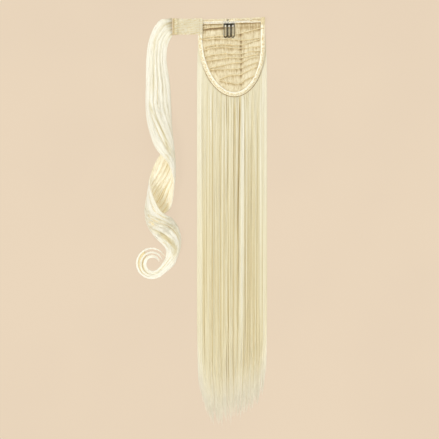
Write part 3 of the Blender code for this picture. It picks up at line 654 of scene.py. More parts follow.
def fall_strands(random, clumps, count, level, tone, radius):
    """Paths, radii and tones of strands lying at a level, 1 the top of the hair and 0 below."""
    pick = random.integers(0, len(clumps["centre"]), count)
    offset = random.uniform(-1, 1, count)
    across = clumps["centre"][pick] + offset * clumps["half"][pick] * 1.04
    across = np.clip(across, -0.995, 0.995)
    reach = np.interp(across, TIP_LINE[:, 0], TIP_LINE[:, 1])
    reach -= 0.024 * np.abs(np.sin(across * 9 + 0.8 * np.sin(across * 21) + 0.4))
    reach -= 0.4 * clumps["cut"][pick]
    kind = random.uniform(0, 1, count)
    lose = np.where(kind < 0.35, random.uniform(0.06, 0.20, count),
                    np.where(kind < 0.75, random.uniform(0.02, 0.06, count),
                             random.uniform(0.0, 0.02, count)))
    end = BASE_TOP - OVERALL_LENGTH * (reach - lose * (1 - 0.6 * np.abs(across)))
    x_line = HAIR_ACROSS + HAIR_WIDTH / 2 * across
    inside = np.abs(x_line) < BASE_WIDTH / 2 - 2 * MM
    edge = edge_y(np.clip(x_line, -BASE_WIDTH / 2, BASE_WIDTH / 2), 0)
    start = np.where(inside, edge + random.uniform(8, 20, count) * MM,
                     random.uniform(-2, 40, count) * MM)
    start = np.minimum(start, 42 * MM)
    t = np.linspace(0, 1, FALL_POINTS)[None, :]
    bent = t**1.5
    y = start[:, None] + (end - start)[:, None] * bent
    narrow = 1 - 0.5 * soft_step(0.80, 1.0, bent)
    middle = clumps["centre"][pick][:, None]
    across_now = middle + (across[:, None] - middle) * narrow
    fan = 1 - 0.055 * np.exp(-(start[:, None] - y) / (40 * MM)) * inside[:, None] * (
        1 - np.abs(across)[:, None] ** 3)
    turns, phase = clumps["turns"][pick][:, None], clumps["phase"][pick][:, None]
    wave = np.sin(2 * np.pi * turns * bent + phase)
    wide = half_width(y) * (1 + 0.08 * soft_step(-430 * MM, -520 * MM, y))
    x = HAIR_ACROSS + wide * across_now * fan
    x += clumps["drift"][pick][:, None] * wave * (1 - np.abs(across_now) ** 3)
    x += random.normal(0, 0.35 * MM, (count, 1)) * t
    limit = wide - 0.2 * MM
    x = HAIR_ACROSS + np.clip(x - HAIR_ACROSS, -limit, limit)
    shade = fall_shade(x, y)
    below = soft_step(0, 12 * MM, edge_y(np.clip(x, -0.05, 0.05), 0) - y)
    bulge = (0.55 * (1 - offset[:, None] ** 2) + 0.5 * clumps["height"][pick][:, None]) * MM
    bulge = bulge + 1.6 * MM * np.minimum(shade, 0) / 0.4
    top = bed(x, y) - 0.5 * MM
    height = random.uniform(*level, count)[:, None]
    z = 0.35 * MM + np.maximum(top - 0.35 * MM, 0.2 * MM) * height
    z += bulge * below * np.clip(height * 1.6 - 0.6, 0, 1)
    z += random.uniform(0, 0.35, (count, 1)) * MM * below
    z = np.maximum(z, 0.3 * MM)
    lower = soft_step(-70 * MM, -330 * MM, y)
    # Darker down the fall, darker at each bundle's edges as painted shade between bundles, and
    # paler towards the hair's sides as painted light through their thin edges.
    tones = tone - 0.13 * lower + shade + clumps["tone"][pick][:, None]
    tones = tones - 0.06 * offset[:, None] ** 2
    tones = tones + random.normal(0, 0.075, (count, 1)) + 0.04 * np.abs(across_now) ** 4
    thin = 1 - 0.45 * soft_step(0.75, 1.0, bent)
    return np.stack((x, y, z), axis=-1), radius * thin, tones


def make_hair():
    """The straight hair: a dense core, inner hair, the seen strands, and the hair below."""
    random = np.random.default_rng(11)
    clumps, others = hair_clumps(random, 84), hair_clumps(random, 61)
    material = hair_finish("hair_strands", HAIR_STOPS)
    rows = []
    for y in np.linspace(BASE_TOP - 18 * MM, -440 * MM, 60):
        fade = soft_step(-300 * MM, -440 * MM, y)
        across = np.linspace(-1, 1, 45)
        half = (half_width(y) - 1.5 * MM) * (1 - 0.22 * fade)
        x = HAIR_ACROSS + half * across
        top = np.maximum((bed(x, y) - 2.2 * MM) * (1 - 0.5 * fade), 0.9 * MM)
        top -= 0.25 * MM * np.abs(np.sin(across * 60))
        upper = np.stack((x, np.full(45, y), top), axis=1)
        lower = np.stack((x[::-1], np.full(45, y), np.full(45, 0.45 * MM)), axis=1)
        rows.append(np.concatenate((upper, lower)))
    core = Finish("hair_core", roughness=0.6)
    x, y, _ = core.place()
    grain = core.noise(x * 1500, y * 12, 1.0, detail=3.0)
    core.paint(core.ramp(grain, (0.3, (0.46, 0.35, 0.15)), (0.7, (0.62, 0.52, 0.30))),
               0.6, grain, 0.5, 0.0005)
    core.glow(PASSED_COLOUR, PASSED_LIGHT)
    body("hair_core", rows, core.material, "hair", "hair_fall")
    # Name, bundles, number of strands, levels, tone and radius. The deeper levels get darker tones:
    # painted shade on the hair lying deeper.
    plan = (
        ("hair_top", clumps, 2500, (0.92, 1.0), 0.70, 0.25 * MM),
        ("hair_middle", others, 2500, (0.80, 0.97), 0.58, 0.28 * MM),
        ("hair_below", others, 1300, (0.0, 0.75), 0.54, 0.30 * MM),
    )
    for name, bundles, count, level, tone, radius in plan:
        paths, radii, tones = fall_strands(random, bundles, count, level, tone, radius)
        strands(name, paths, radii, tones, material, "hair")
    return material


def lock_table():
    """Axis, radius, half arc and turn of the lock at each row, and the length up to it."""
    root = np.array((STRAP_END - GAP, hem_line(-BASE_WIDTH / 2) + STRAP_DROP - STRAP_WIDTH / 2))
    rows = []
    for k, (across, down, radius, arc, turn) in enumerate(LOCK_BENDS):
        axis = root - np.array((across * LOCK_REACH, down * LOCK_DROP))
        arc = np.radians(arc)
        radius = STRAP_WIDTH / 2 / np.sin(arc) if k < ROOT_ROWS else radius * LOCK_RADIUS
        rows.append((*axis, radius, arc, np.radians(turn)))
    middle = root - np.array((CURL_ACROSS * LOCK_REACH, CURL_DOWN * LOCK_DROP))
    for k in range(11):
        angle = -CURL_START - (CURL_END + CURL_TAIL - CURL_START) * k / 10
        axis = middle + CURL_RADIUS * np.array((np.cos(angle), np.sin(angle)))
        width = CURL_WIDTH * (1 - (1 - CURL_TIP) * (k / 10) ** 3)
        rows.append((*axis, width / 2 / np.sin(CURL_ARC), CURL_ARC, np.radians(360)))
    rows = np.array(rows)
    steps = np.linalg.norm(np.diff(rows[:, :2], axis=0), axis=1)
    return rows, np.concatenate(((0,), np.cumsum(steps)))


def lock_point(table, lengths, share, across, lift, shift=0.0):
    """Points of the lock: share of its length, -1 to 1 across its arc, lift off its middle."""
    place = share * lengths[-1]

    def read(column, at):
        return smooth(lengths, table[:, column], at)

    step = lengths[-1] / 240
    along = np.stack([read(k, place + step) - read(k, place - step) for k in (0, 1)], axis=-1)
    along /= np.linalg.norm(along, axis=-1, keepdims=True)
    start = soft_step(0.02, 0.0, share)[..., None]
    along = along * (1 - start) + np.array((-1.0, 0.0)) * start
    along /= np.linalg.norm(along, axis=-1, keepdims=True)
    angle = read(4, place) + read(3, place) * across
    reach = read(2, place) + lift
    out = reach * np.sin(angle) + shift
    x = read(0, place) - along[..., 1] * out
    y = read(1, place) + along[..., 0] * out
    return np.stack((x, y, reach * LOCK_FLATNESS * np.cos(angle)), axis=-1)


def lock_drop(table, lengths):
    """How far each section of the lock sinks to lie on the surface, along its length."""
    shares = np.linspace(0, 1, 121)[:, None]
    across = np.linspace(-1, 1, 17)[None, :]
    thick = LOCK_THICKNESS / 2 * (1 - (1 - LOCK_EDGE) * across**2)
    low = np.minimum(lock_point(table, lengths, shares, across, thick)[..., 2],
                     lock_point(table, lengths, shares, across, -thick)[..., 2]).min(axis=1)
    padded = np.pad(low, 1, mode="edge")
    return shares[:, 0], np.minimum(np.minimum(padded[:-2], padded[1:-1]), padded[2:])


def lock_shade(x, y):
    """Change of tone over the lock, from the streaks of the photo: partly painted shade and
    highlights.
    """
    shade = np.zeros(x.shape)
    for line, half, change in LOCK_STREAKS:
        nearest = np.full(x.shape, 1.0)
        for (ax, ay), (bx, by) in zip(line, line[1:]):
            (ax, ay), (bx, by) = px(ax, ay), px(bx, by)
            dx, dy = bx - ax, by - ay
            share = np.clip(((x - ax) * dx + (y - ay) * dy) / (dx * dx + dy * dy), 0, 1)
            nearest = np.minimum(nearest, np.hypot(x - ax - share * dx, y - ay - share * dy))
        shade += change * np.exp(-((nearest / (half * PIXEL)) ** 2))
    return shade


def make_lock(material):
    """The curled lock: a thin core ribbon with strands on both of its sides."""
    random = np.random.default_rng(23)
    table, lengths = lock_table()
    drop_places, drops = lock_drop(table, lengths)
    shares = np.linspace(0.002, 0.93, 150)
    rows = []
    for share in shares:
        across = np.linspace(-0.94, 0.94, 17)
        thick = 0.3 * MM * (1 - 0.5 * across**2)
        upper = lock_point(table, lengths, np.full(17, share), across, thick)
        lower = lock_point(table, lengths, np.full(17, share), across[::-1], -thick)
        ring = np.concatenate((upper, lower))
        ring[:, 2] -= np.interp(share, drop_places, drops)
        ring[:, 2] = np.maximum(ring[:, 2], 0.3 * MM)
        rows.append(ring)
    core = Finish("lock_core", roughness=0.55)
    across, along = core.chart()
    grain = core.noise(across * 260, along * 10, 1.0, detail=3.0)
    core.paint(core.ramp(grain, (0.3, (0.56, 0.44, 0.20)), (0.7, (0.74, 0.66, 0.44))),
               0.55, grain, 0.4, 0.0004)
    core.glow(PASSED_COLOUR, PASSED_LIGHT)
    body("lock_core", rows, core.material, "hair", "wrap_lock")
    inside = hair_finish("lock_inside", HAIR_STOPS, passed=INNER_LIGHT)
    clumps = np.array(LOCK_CLUMPS)
    wander = random.uniform(0.5, 1.6, (len(clumps), 2))
    bunches = np.array(RING_BUNCHES) * MM
    for name, count, side in (("lock_outside", 640, 1), ("lock_inside", 360, -1)):
        pick = random.integers(0, len(clumps), count)
        offset = random.normal(0, 0.42, count).clip(-1, 1)
        kind = random.uniform(0, 1, count)
        end = np.where(kind < 0.45, random.uniform(0.74, 0.90, count),
                       random.uniform(0.90, 1.0, count))
        begin = random.uniform(0.0, 0.004, count)
        share = begin[:, None] + (end - begin)[:, None] * np.linspace(0, 1, LOCK_POINTS)[None, :]
        drift = np.sin(2 * np.pi * (wander[pick, 0][:, None] * share * 2.2) + pick[:, None])
        across = clumps[pick][:, None] + 0.15 * offset[:, None] + 0.05 * drift * share
        own = np.sin(2 * np.pi * random.uniform(0.3, 1.2, (count, 1)) * share * 3
                     + random.uniform(0, 6.3, (count, 1)))
        across = across + 0.03 * own
        loose = soft_step(0.82, 0.92, share)
        shift = (bunches[pick][:, None] + 0.7 * MM * offset[:, None]) * loose
        across = across * (1 - 0.75 * loose)
        across = np.clip(across, -1, 1)
        thick = (LOCK_THICKNESS / 2 - 0.25 * MM) * (1 - (1 - LOCK_EDGE) * across**2)
        bump = 0.45 * MM * (1 - offset[:, None] ** 2)
        depth = random.uniform(0.35, 1.0, (count, 1)) * thick + bump * 0.6
        flat = lock_point(table, lengths, share, across, side * depth, shift)
        shade = lock_shade(flat[..., 0], flat[..., 1])
        depth = depth + np.minimum(shade, 0) * 1.0 * MM
        paths = lock_point(table, lengths, share, across, side * depth, shift)
        rise = np.exp(-(((share - 0.022) / 0.018) ** 2)) * soft_step(0.4, -1.0, across)
        paths[..., 1] += 2.6 * MM * rise
        paths[..., 2] -= np.interp(share, drop_places, drops)
        paths[..., 2] = np.maximum(paths[..., 2], 0.25 * MM)
        # Tones: the streaks, a tone for each bundle, and darker at each bundle's edges as painted
        # shade between bundles.
        tones = 0.93 + shade + 0.06 * np.sin(pick * 2.4)[:, None] - 0.07 * offset[:, None] ** 2
        tones = tones + random.normal(0, 0.08, (count, 1)) - (0.03 if side < 0 else 0)
        radius = 0.26 * MM * (1 - 0.25 * soft_step(0.8, 1.0, share))
        strands(name, paths, radius, tones, material if side > 0 else inside, "hair")


def track_y(line, x):
    """y of a track on the net at x."""
    places = np.array([px(*point) for point in TRACK_LINES[line]])
    return smooth(places[:, 0], places[:, 1], x)


def track_reach(line, x):
    """1 along a track and 0 beyond its ends."""
    left, right = px(*TRACK_LINES[line][0])[0], px(*TRACK_LINES[line][-1])[0]
    return soft_step(left - 1.5 * MM, left, x) * soft_step(right + 1.5 * MM, right, x)


def make_net():
    """The stretched net with its welts, its crease and the puckers between the tracks, and painted
    shade stored on it.
    """
    random = np.random.default_rng(5)
    columns, rows = 96, 150
    inset = TAPE_BACK + GAP
    bottom = base_outline(inset)[:, 1].min() + 0.6 * MM
    lines = []
    for k in range(rows):
        share = k / (rows - 1)
        y_edge = BASE_TOP - 2.2 * MM + (bottom - BASE_TOP + 2.2 * MM) * share
        x = np.linspace(side_x(-1, y_edge, inset), side_x(1, y_edge, inset), columns)
        y = y_edge - HEM_FALL * (0.5 - x / BASE_WIDTH) * (1 - share) ** 2
        lines.append(np.stack((x, y), axis=1))
    flat = np.array(lines)
    x, y = flat[..., 0], flat[..., 1]
    fold = np.exp(-(((x - CREASE_ACROSS) / (1.6 * MM)) ** 2))
    welt, shade = np.zeros(x.shape), np.zeros(x.shape)
    # Painted highlight along each welt, painted shade just below it, darker still in the crease.
    for line in range(len(TRACK_LINES)):
        below = (track_y(line, x) - y) / MM
        reach = track_reach(line, x)
        welt = np.maximum(welt, reach * np.exp(-((below / 0.75) ** 2)))
        near = np.exp(-(((below - 2.6) / 2.2) ** 2))
        shade += reach * (0.10 * np.exp(-((below / 0.8) ** 2)) - 0.12 * near
                          - 0.10 * np.exp(-(((below - 1.5) / 0.8) ** 2)) - 0.26 * fold * near)
    knots = random.normal(0, 0.085, (14, columns))
    level = np.linspace(0, 13, rows)
    streaks = np.array([np.interp(level, np.arange(14), knots[:, k]) for k in range(columns)]).T
    shade += streaks - 0.01
    inner = np.minimum(x - side_x(-1, y, BINDING_WIDTH), side_x(1, y, BINDING_WIDTH) - x)
    free = soft_step(-0.5 * MM, 3 * MM, inner) * soft_step(hem_line(x) - 6 * MM,
                                                           hem_line(x) - 9 * MM, y)
    pucker = sum(np.sin(x * kx + y * ky + phase) for kx, ky, phase in zip(
        random.uniform(300, 1500, 6), random.uniform(-500, 500, 6), random.uniform(0, 6.3, 6)))
    lift = (0.75 * welt - 0.3 * fold + 0.07 * pucker) * free * MM
    down = (hem_line(x) - y) / MM
    # Painted shade: a band under the hem's fold, deepest on the strap's side, a line just under the
    # hem, lines along the binding's inner edges and in the crease, and a patch under the hem on the
    # other side; a little lighter on the other side lower down.
    corner = soft_step(-4 * MM, -16 * MM, x) + 0.3
    shade -= 0.34 * corner * np.exp(-(((down - 14.5) / 2.4) ** 2))
    shade -= 0.30 * np.exp(-(((down - 8.6) / 1.3) ** 2)) * (0.4 + 0.6 * (np.abs(x) > 14 * MM))
    shade -= 0.20 * np.exp(-((inner / (1.2 * MM)) ** 2)) + 0.12 * fold
    shade -= 0.20 * soft_step(8 * MM, 20 * MM, x) * np.exp(-(((down - 14) / 6) ** 2))
    shade += 0.10 * soft_step(17 * MM, 22 * MM, x) * soft_step(34 * MM, 22 * MM, y)
    ground = bed(x, y)
    upper = np.stack((x, y, ground + NET_FLOOR + 0.75 * MM + lift), axis=-1)
    lower = np.stack((x, y, ground + NET_FLOOR + 0.1 * MM + 0.5 * np.maximum(lift, -0.1 * MM)),
                     axis=-1)
    rings = np.concatenate((upper, lower[:, ::-1]), axis=1)
    net = body("net", rings, net_finish(), "net", "base_net")
    # The underside takes the same shade, darker by 0.1: painted shade under the net.
    both = np.concatenate((shade, shade[:, ::-1] - 0.1), axis=1).astype(np.float32)
    net.data.attributes.new("shade", "FLOAT", "POINT").data.foreach_set("value", both.ravel())
    across = flat[:, -1, 0] - flat[:, 0, 0]
    steps = -np.diff(flat[:, 0, 1])
    return net, float(((across[1:] + across[:-1]) / 2 * steps).sum())


def make_tracks():
    """The sewn tracks: a pale welt with gold thread along its lower side and over it; the dark gold
    along the lower side is partly painted shade under the welt.
    """
    random = np.random.default_rng(31)
    thread = track_finish()
    points = 150
    paths, radii, tones = [], [], []
    for line, track in enumerate(TRACK_LINES):
        left, right = px(*track[0])[0], px(*track[-1])[0]
        x = np.linspace(left, right, points)
        rim = np.minimum(x - side_x(-1, track_y(line, x), BINDING_WIDTH),
                         side_x(1, track_y(line, x), BINDING_WIDTH) - x)
        raised = 1.5 * MM * soft_step(1.6 * MM, -0.4 * MM, rim)
        for shift, radius, tone, zigzag in TRACK_THREADS:
            phase = random.uniform(0, 6.3)
            swing = zigzag * MM * np.sin(x / MM * random.uniform(2.0, 3.4) + phase)
            y = track_y(line, x) + shift * MM + swing + 0.2 * MM * np.sin(x * 330 + line)
            z = bed(x, y) + NET_CEILING + 0.5 * MM + raised
            z += 0.12 * MM * np.sin(x * 2400 + phase) - 0.25 * MM * (shift < -0.3)
            paths.append(np.stack((x, y, z), axis=1))
            radii.append(np.full(points, radius * MM))
            knots = random.normal(0, 0.16, 40)
            tones.append(tone + np.interp(np.linspace(0, 39, points), np.arange(40), knots))
    strands("track_seams", np.array(paths), np.array(radii), np.array(tones), thread, "track",
            nodes=[f"weft_{k + 1}" for k in range(10)])


def tape_ring(width, thick, puff, points=10):
    """Section of a folded tape: distance inwards and height, a soft closed loop."""
    turn = 2 * np.pi * (np.arange(2 * points) + 0.5) / (2 * points)
    inwards = width / 2 * (1 - np.sign(np.cos(turn)) * np.abs(np.cos(turn)) ** 0.55)
    height = thick / 2 * (1 + np.sign(np.sin(turn)) * np.abs(np.sin(turn)) ** 0.55)
    return inwards, height + puff * np.maximum(np.sin(turn), 0)


def make_binding():
    """The binding round the U, puffed between its stitches."""
    random = np.random.default_rng(41)
    inwards, height = tape_ring(BINDING_WIDTH, TAPE_CEILING - GAP - 0.15 * MM, 0.35 * MM)
    outlines = np.array([base_outline(float(inset), 260) for inset in inwards])
    count = outlines.shape[1]
    wave = random.uniform(-1, 1, count)
    wave = np.convolve(np.pad(wave, 4, mode="edge"), np.ones(9) / 9, "valid")
    keep = []
    for k in range(count):
        points = outlines[:, k]
        if points[:, 1].max() > hem_line(points[0, 0]) - HEM_WIDTH + 1.5 * MM:
            continue
        lift = height * (1 + 0.09 * wave[k]) + 0.16 * MM * np.sin(k * 1.9) * (height > 2 * MM)
        z = bed(points[:, 0], points[:, 1]) + GAP + lift
        keep.append(np.column_stack((points, z)))
    material = tape_finish("binding_tape", (0.86, 0.84, 0.73), (0.81, 0.74, 0.51),
                           (0.60, 0.44, 0.18), 0.27)
    body("edge_binding", keep, material, "tape", "binding")


def make_hem():
    """The hem folded over the top edge, with a groove pressed along it."""
    inwards, height = tape_ring(HEM_WIDTH, TAPE_CEILING - GAP - 0.1 * MM, 0.25 * MM)
    rings = []
    for k in range(121):
        x = BASE_WIDTH * (k / 120 - 0.5)
        groove = 0.7 * MM * np.exp(-(((inwards - 4.4 * MM) / (0.5 * MM)) ** 2)) * (height > 2 * MM)
        puff = 0.18 * MM * np.sin(k * 0.9) * (height > 2 * MM) + 0.15 * MM * np.sin(k * 0.23)
        y = hem_line(x) - inwards + 0.25 * MM * np.sin(k * 0.31)
        z = bed(np.full(len(y), x), y) + GAP + height - groove + puff
        rings.append(np.column_stack((np.full(len(y), x), y, z)))
    material = tape_finish("hem_tape", (0.90, 0.87, 0.75), (0.81, 0.72, 0.48),
                           (0.55, 0.40, 0.16), 0.30)
    body("hem_tape", rings, material, "tape", "top_hem")


def make_tuck():
    """The tape end folded over itself at the corner, open towards the strap."""
    right = BASE_WIDTH / 2 - 0.4 * MM
    left = right - 6.0 * MM
    rings = []
    for k in range(25):
        share = k / 24
        end = np.sin(np.pi * np.clip(share, 0.04, 0.96)) ** 0.25
        high = 2.5 * MM * end
        wave = 0.25 * MM * np.sin(k * 1.3)
        section = (
            (left, 0), (right - 0.6 * MM, 0), (right + wave, high * 0.3),
            (right + wave, high * 0.75), (right - 0.7 * MM, high),
            (left + 2.4 * MM, high + wave), (left + 0.6 * MM, high * 0.95), (left, high * 0.72),
            (left + 1.6 * MM, high * 0.62), (right - 1.4 * MM, high * 0.6),
            (right - 1.4 * MM, high * 0.34), (left, high * 0.34),
        )
        x = np.array([point[0] for point in section])
        lift = np.array([point[1] for point in section])
        y = hem_line(x) - 0.2 * MM - 10.4 * MM * share
        z = bed(x, y) + TAPE_CEILING + 0.15 * MM + lift
        rings.append(np.column_stack((x, y, z)))
    material = tape_finish("tuck_tape", (0.90, 0.83, 0.60), (0.72, 0.59, 0.32),
                           (0.26, 0.17, 0.06), 0.9)
    body("corner_tuck", rings, material, "tape", "tape_tuck")


def make_stitches():
    """Zigzag thread round the binding, sewn lines on the hem, and the strap's seam, with painted
    shadow lines along the binding's outer edge and under the hem.
    """
    random = np.random.default_rng(47)
    gold = thread_finish("gold_thread", (0.42, 0.29, 0.11), (0.66, 0.50, 0.23), (0.86, 0.76, 0.50))
    white = thread_finish("white_thread", (0.80, 0.73, 0.55), (0.93, 0.90, 0.78), (1.0, 0.99, 0.95))
    centre = base_outline(0, 1400)
    inner = base_outline(BINDING_WIDTH, 1400)
    steps = np.concatenate(((0,), np.cumsum(np.linalg.norm(np.diff(centre, axis=0), axis=1))))
    stitches = Threads()
    pitch = 3.75 * MM
    for place in np.arange(12 * MM, steps[-1] - 12 * MM, pitch):
        for a, b, c, d in ((0.12, 0.50, 0.0, 0.42), (0.50, 0.16, 0.42, 0.86)):
            share = np.linspace(0, 1, 6)
            at = place + pitch * (c + (d - c) * share)
            depth = a + (b - a) * share + random.normal(0, 0.02)
            x0, y0 = np.interp(at, steps, centre[:, 0]), np.interp(at, steps, centre[:, 1])
            x1, y1 = np.interp(at, steps, inner[:, 0]), np.interp(at, steps, inner[:, 1])
            x, y = x0 + (x1 - x0) * depth, y0 + (y1 - y0) * depth
            if y.max() > hem_line(x.mean()) - HEM_WIDTH:
                continue
            arch = np.sin(np.pi * share) * 0.12 * MM
            z = bed(x, y) + TAPE_CEILING + 0.50 * MM + arch
            stitches.add(x, y, z, random.uniform(0.15, 0.75))
    stitches.sew("binding_stitches", 0.19 * MM, gold, "tape")

    # Painted shadow: a dark brown line along the binding's lower outer edge, where the binding
    # shades the hair.
    edge = base_outline(-0.25 * MM, 400)
    edge = edge[edge[:, 1] < -6 * MM]
    share = np.linspace(0, 1, len(edge))
    shadow_brown = thread_finish("painted_binding_shadow", (0.28, 0.17, 0.045), (0.44, 0.29, 0.10),
                          (0.62, 0.46, 0.21))
    z = bed(edge[:, 0], edge[:, 1]) + 0.9 * MM
    radius = 0.62 * MM * np.clip(np.sin(np.pi * share) * 2.2, 0.3, 1)
    strands("binding_shadow_line", np.column_stack((edge, z))[None], radius[None],
            (0.35 + 0.2 * np.sin(share * 90))[None], shadow_brown, "tape")

    seams = Threads()
    for x in np.arange(-47.5, 43.5, 2.5) * MM:
        share = np.linspace(0, 1, 6)
        for depth, tone in ((1.9 * MM, 0.25), (5.9 * MM, 0.30)):
            at = x + 2.0 * MM * share
            y = hem_line(at) - depth + random.normal(0, 0.12 * MM)
            z = bed(at, y) + TAPE_CEILING + 0.50 * MM + 0.12 * MM * np.sin(np.pi * share)
            seams.add(at, y, z, tone + random.uniform(-0.15, 0.3))
    middle = hem_line(-BASE_WIDTH / 2) + STRAP_DROP - STRAP_WIDTH / 2
    lap = px(199.6, 0)[0]
    high = strap_floor(lap) + STRAP_THICKNESS
    for at in np.arange(-10.5, 10.5, 1.8) * MM:
        share = np.linspace(0, 1, 6)
        y = middle + at + 1.4 * MM * share
        x = np.full(6, lap) + 0.35 * MM * np.sin(at * 3000)
        z = high + 0.45 * MM + 0.15 * MM * np.sin(np.pi * share)
        seams.add(x, y, z, random.uniform(0.2, 0.6))
    seams.sew("seam_stitches", 0.2 * MM, gold, "tape")

    # From and to (x pixels), depth below the hem's edge and tone, radius, thread. The very dark
    # gold lines 7.8 mm and more below the edge are painted shadow under the hem; the others are
    # sewn lines.
    hem_lines = (
        (203, 223, 4.4, 0.92, 0.30, white), (203, 223, 5.0, 0.85, 0.26, white),
        (235.5, 250, 4.9, 0.95, 0.32, white), (235.5, 252, 5.5, 0.98, 0.30, white),
        (236, 262, 3.3, 0.20, 0.24, gold), (240, 262, 3.7, 0.30, 0.20, gold),
        (203, 223, 7.8, 0.06, 0.34, gold), (204, 222, 8.3, 0.16, 0.24, gold),
        (236, 251, 7.9, 0.02, 0.38, gold), (236, 250, 8.5, 0.05, 0.34, gold),
        (250, 259, 7.9, 0.25, 0.24, gold), (198, 224, 2.2, 0.35, 0.20, gold),
    )
    for k, (start, end, depth, tone, radius, material) in enumerate(hem_lines):
        at = np.linspace(px(start, 0)[0], px(end, 0)[0], 60)
        y = hem_line(at) - depth * MM + 0.18 * MM * np.sin(at * 900 + k)
        # The painted shadow lines under the hem lie low, on the net.
        z = bed(at, y) + TAPE_CEILING + (0.45 if depth < 7.6 else 0.1) * MM
        z += 0.12 * MM * np.sin(at * 2600 + k * 2)
        knots = np.interp(np.arange(60), np.arange(0, 60, 3), random.normal(0, 0.14, 20))
        strands(f"hem_line_{k + 1}", np.stack((at, y, z), axis=1)[None], radius * MM,
                (tone + knots)[None], material, "tape")
    lashing = Threads()
    bar_y = hem_line(COMB_ACROSS) - HEM_WIDTH - GAP - 0.9 * MM
    for x in np.arange(-12.5, 5.6, 0.62) * MM:
        share = np.linspace(0, 1, 10)
        lean = random.normal(0, 0.5 * MM)
        y = bar_y + 1.3 * MM + (3.0 * MM + random.uniform(-0.6, 0.9) * MM) * share
        at = x + lean * share
        z = bed(at, y) + TAPE_CEILING + 0.35 * MM + 0.7 * MM * np.sin(np.pi * share) ** 0.6
        z -= 0.5 * MM * (1 - share) ** 3
        lashing.add(at, y, z, random.uniform(0.45, 0.95))
    for x in (-9.1, -3.6, 1.9):
        for turn in (-0.7, -0.35, 0.0, 0.35, 0.7):
            share = np.linspace(0, 1, 10)
            y = bar_y - 1.6 * MM - 2.2 * MM * share
            at = (x + turn) * MM + 0.2 * MM * np.sin(share * 6)
            z = bed(at, y) + NET_CEILING + 1.2 * MM + 0.5 * MM * np.sin(np.pi * share)
            lashing.add(at, y, z, random.uniform(0.6, 0.95))
    lashing.sew("comb_lashing", 0.24 * MM, white, "tape")

    dark = thread_finish("dark_thread", (0.02, 0.018, 0.015), (0.07, 0.06, 0.05), (0.2, 0.17, 0.13))
    x0, y0 = px(227.7, 20.4)
    share = np.linspace(0, 1, 14)
    knot = Threads()
    for k in range(7):
        turn = 2 * np.pi * (share * 1.3 + k / 7)
        x = x0 + (0.9 * MM + 0.1 * MM * k) * np.cos(turn)
        y = y0 + 0.65 * MM * np.sin(turn)
        z = bed(x, y) + TAPE_CEILING + 0.5 * MM + 0.3 * MM * np.sin(turn * 2 + k)
        knot.add(x, y, z, 0.4)
    knot.sew("thread_knot", 0.2 * MM, dark, "tape")
    return gold


def strap_floor(x):
    """Height of the strap's underside, as in the CAD model."""
    edge = -BASE_WIDTH / 2
    low_y = hem_line(edge) + STRAP_DROP - STRAP_WIDTH
    high = max(bed(edge + STRAP_LAP, y) for y in (BASE_TOP, low_y)) + TAPE_CEILING + GAP
    low = 1.6 * MM
    share = np.clip((edge - STRAP_LEVEL - x) / STRAP_SLOPE, 0, 1)
    return high + (low - high) * share * share * (3 - 2 * share)


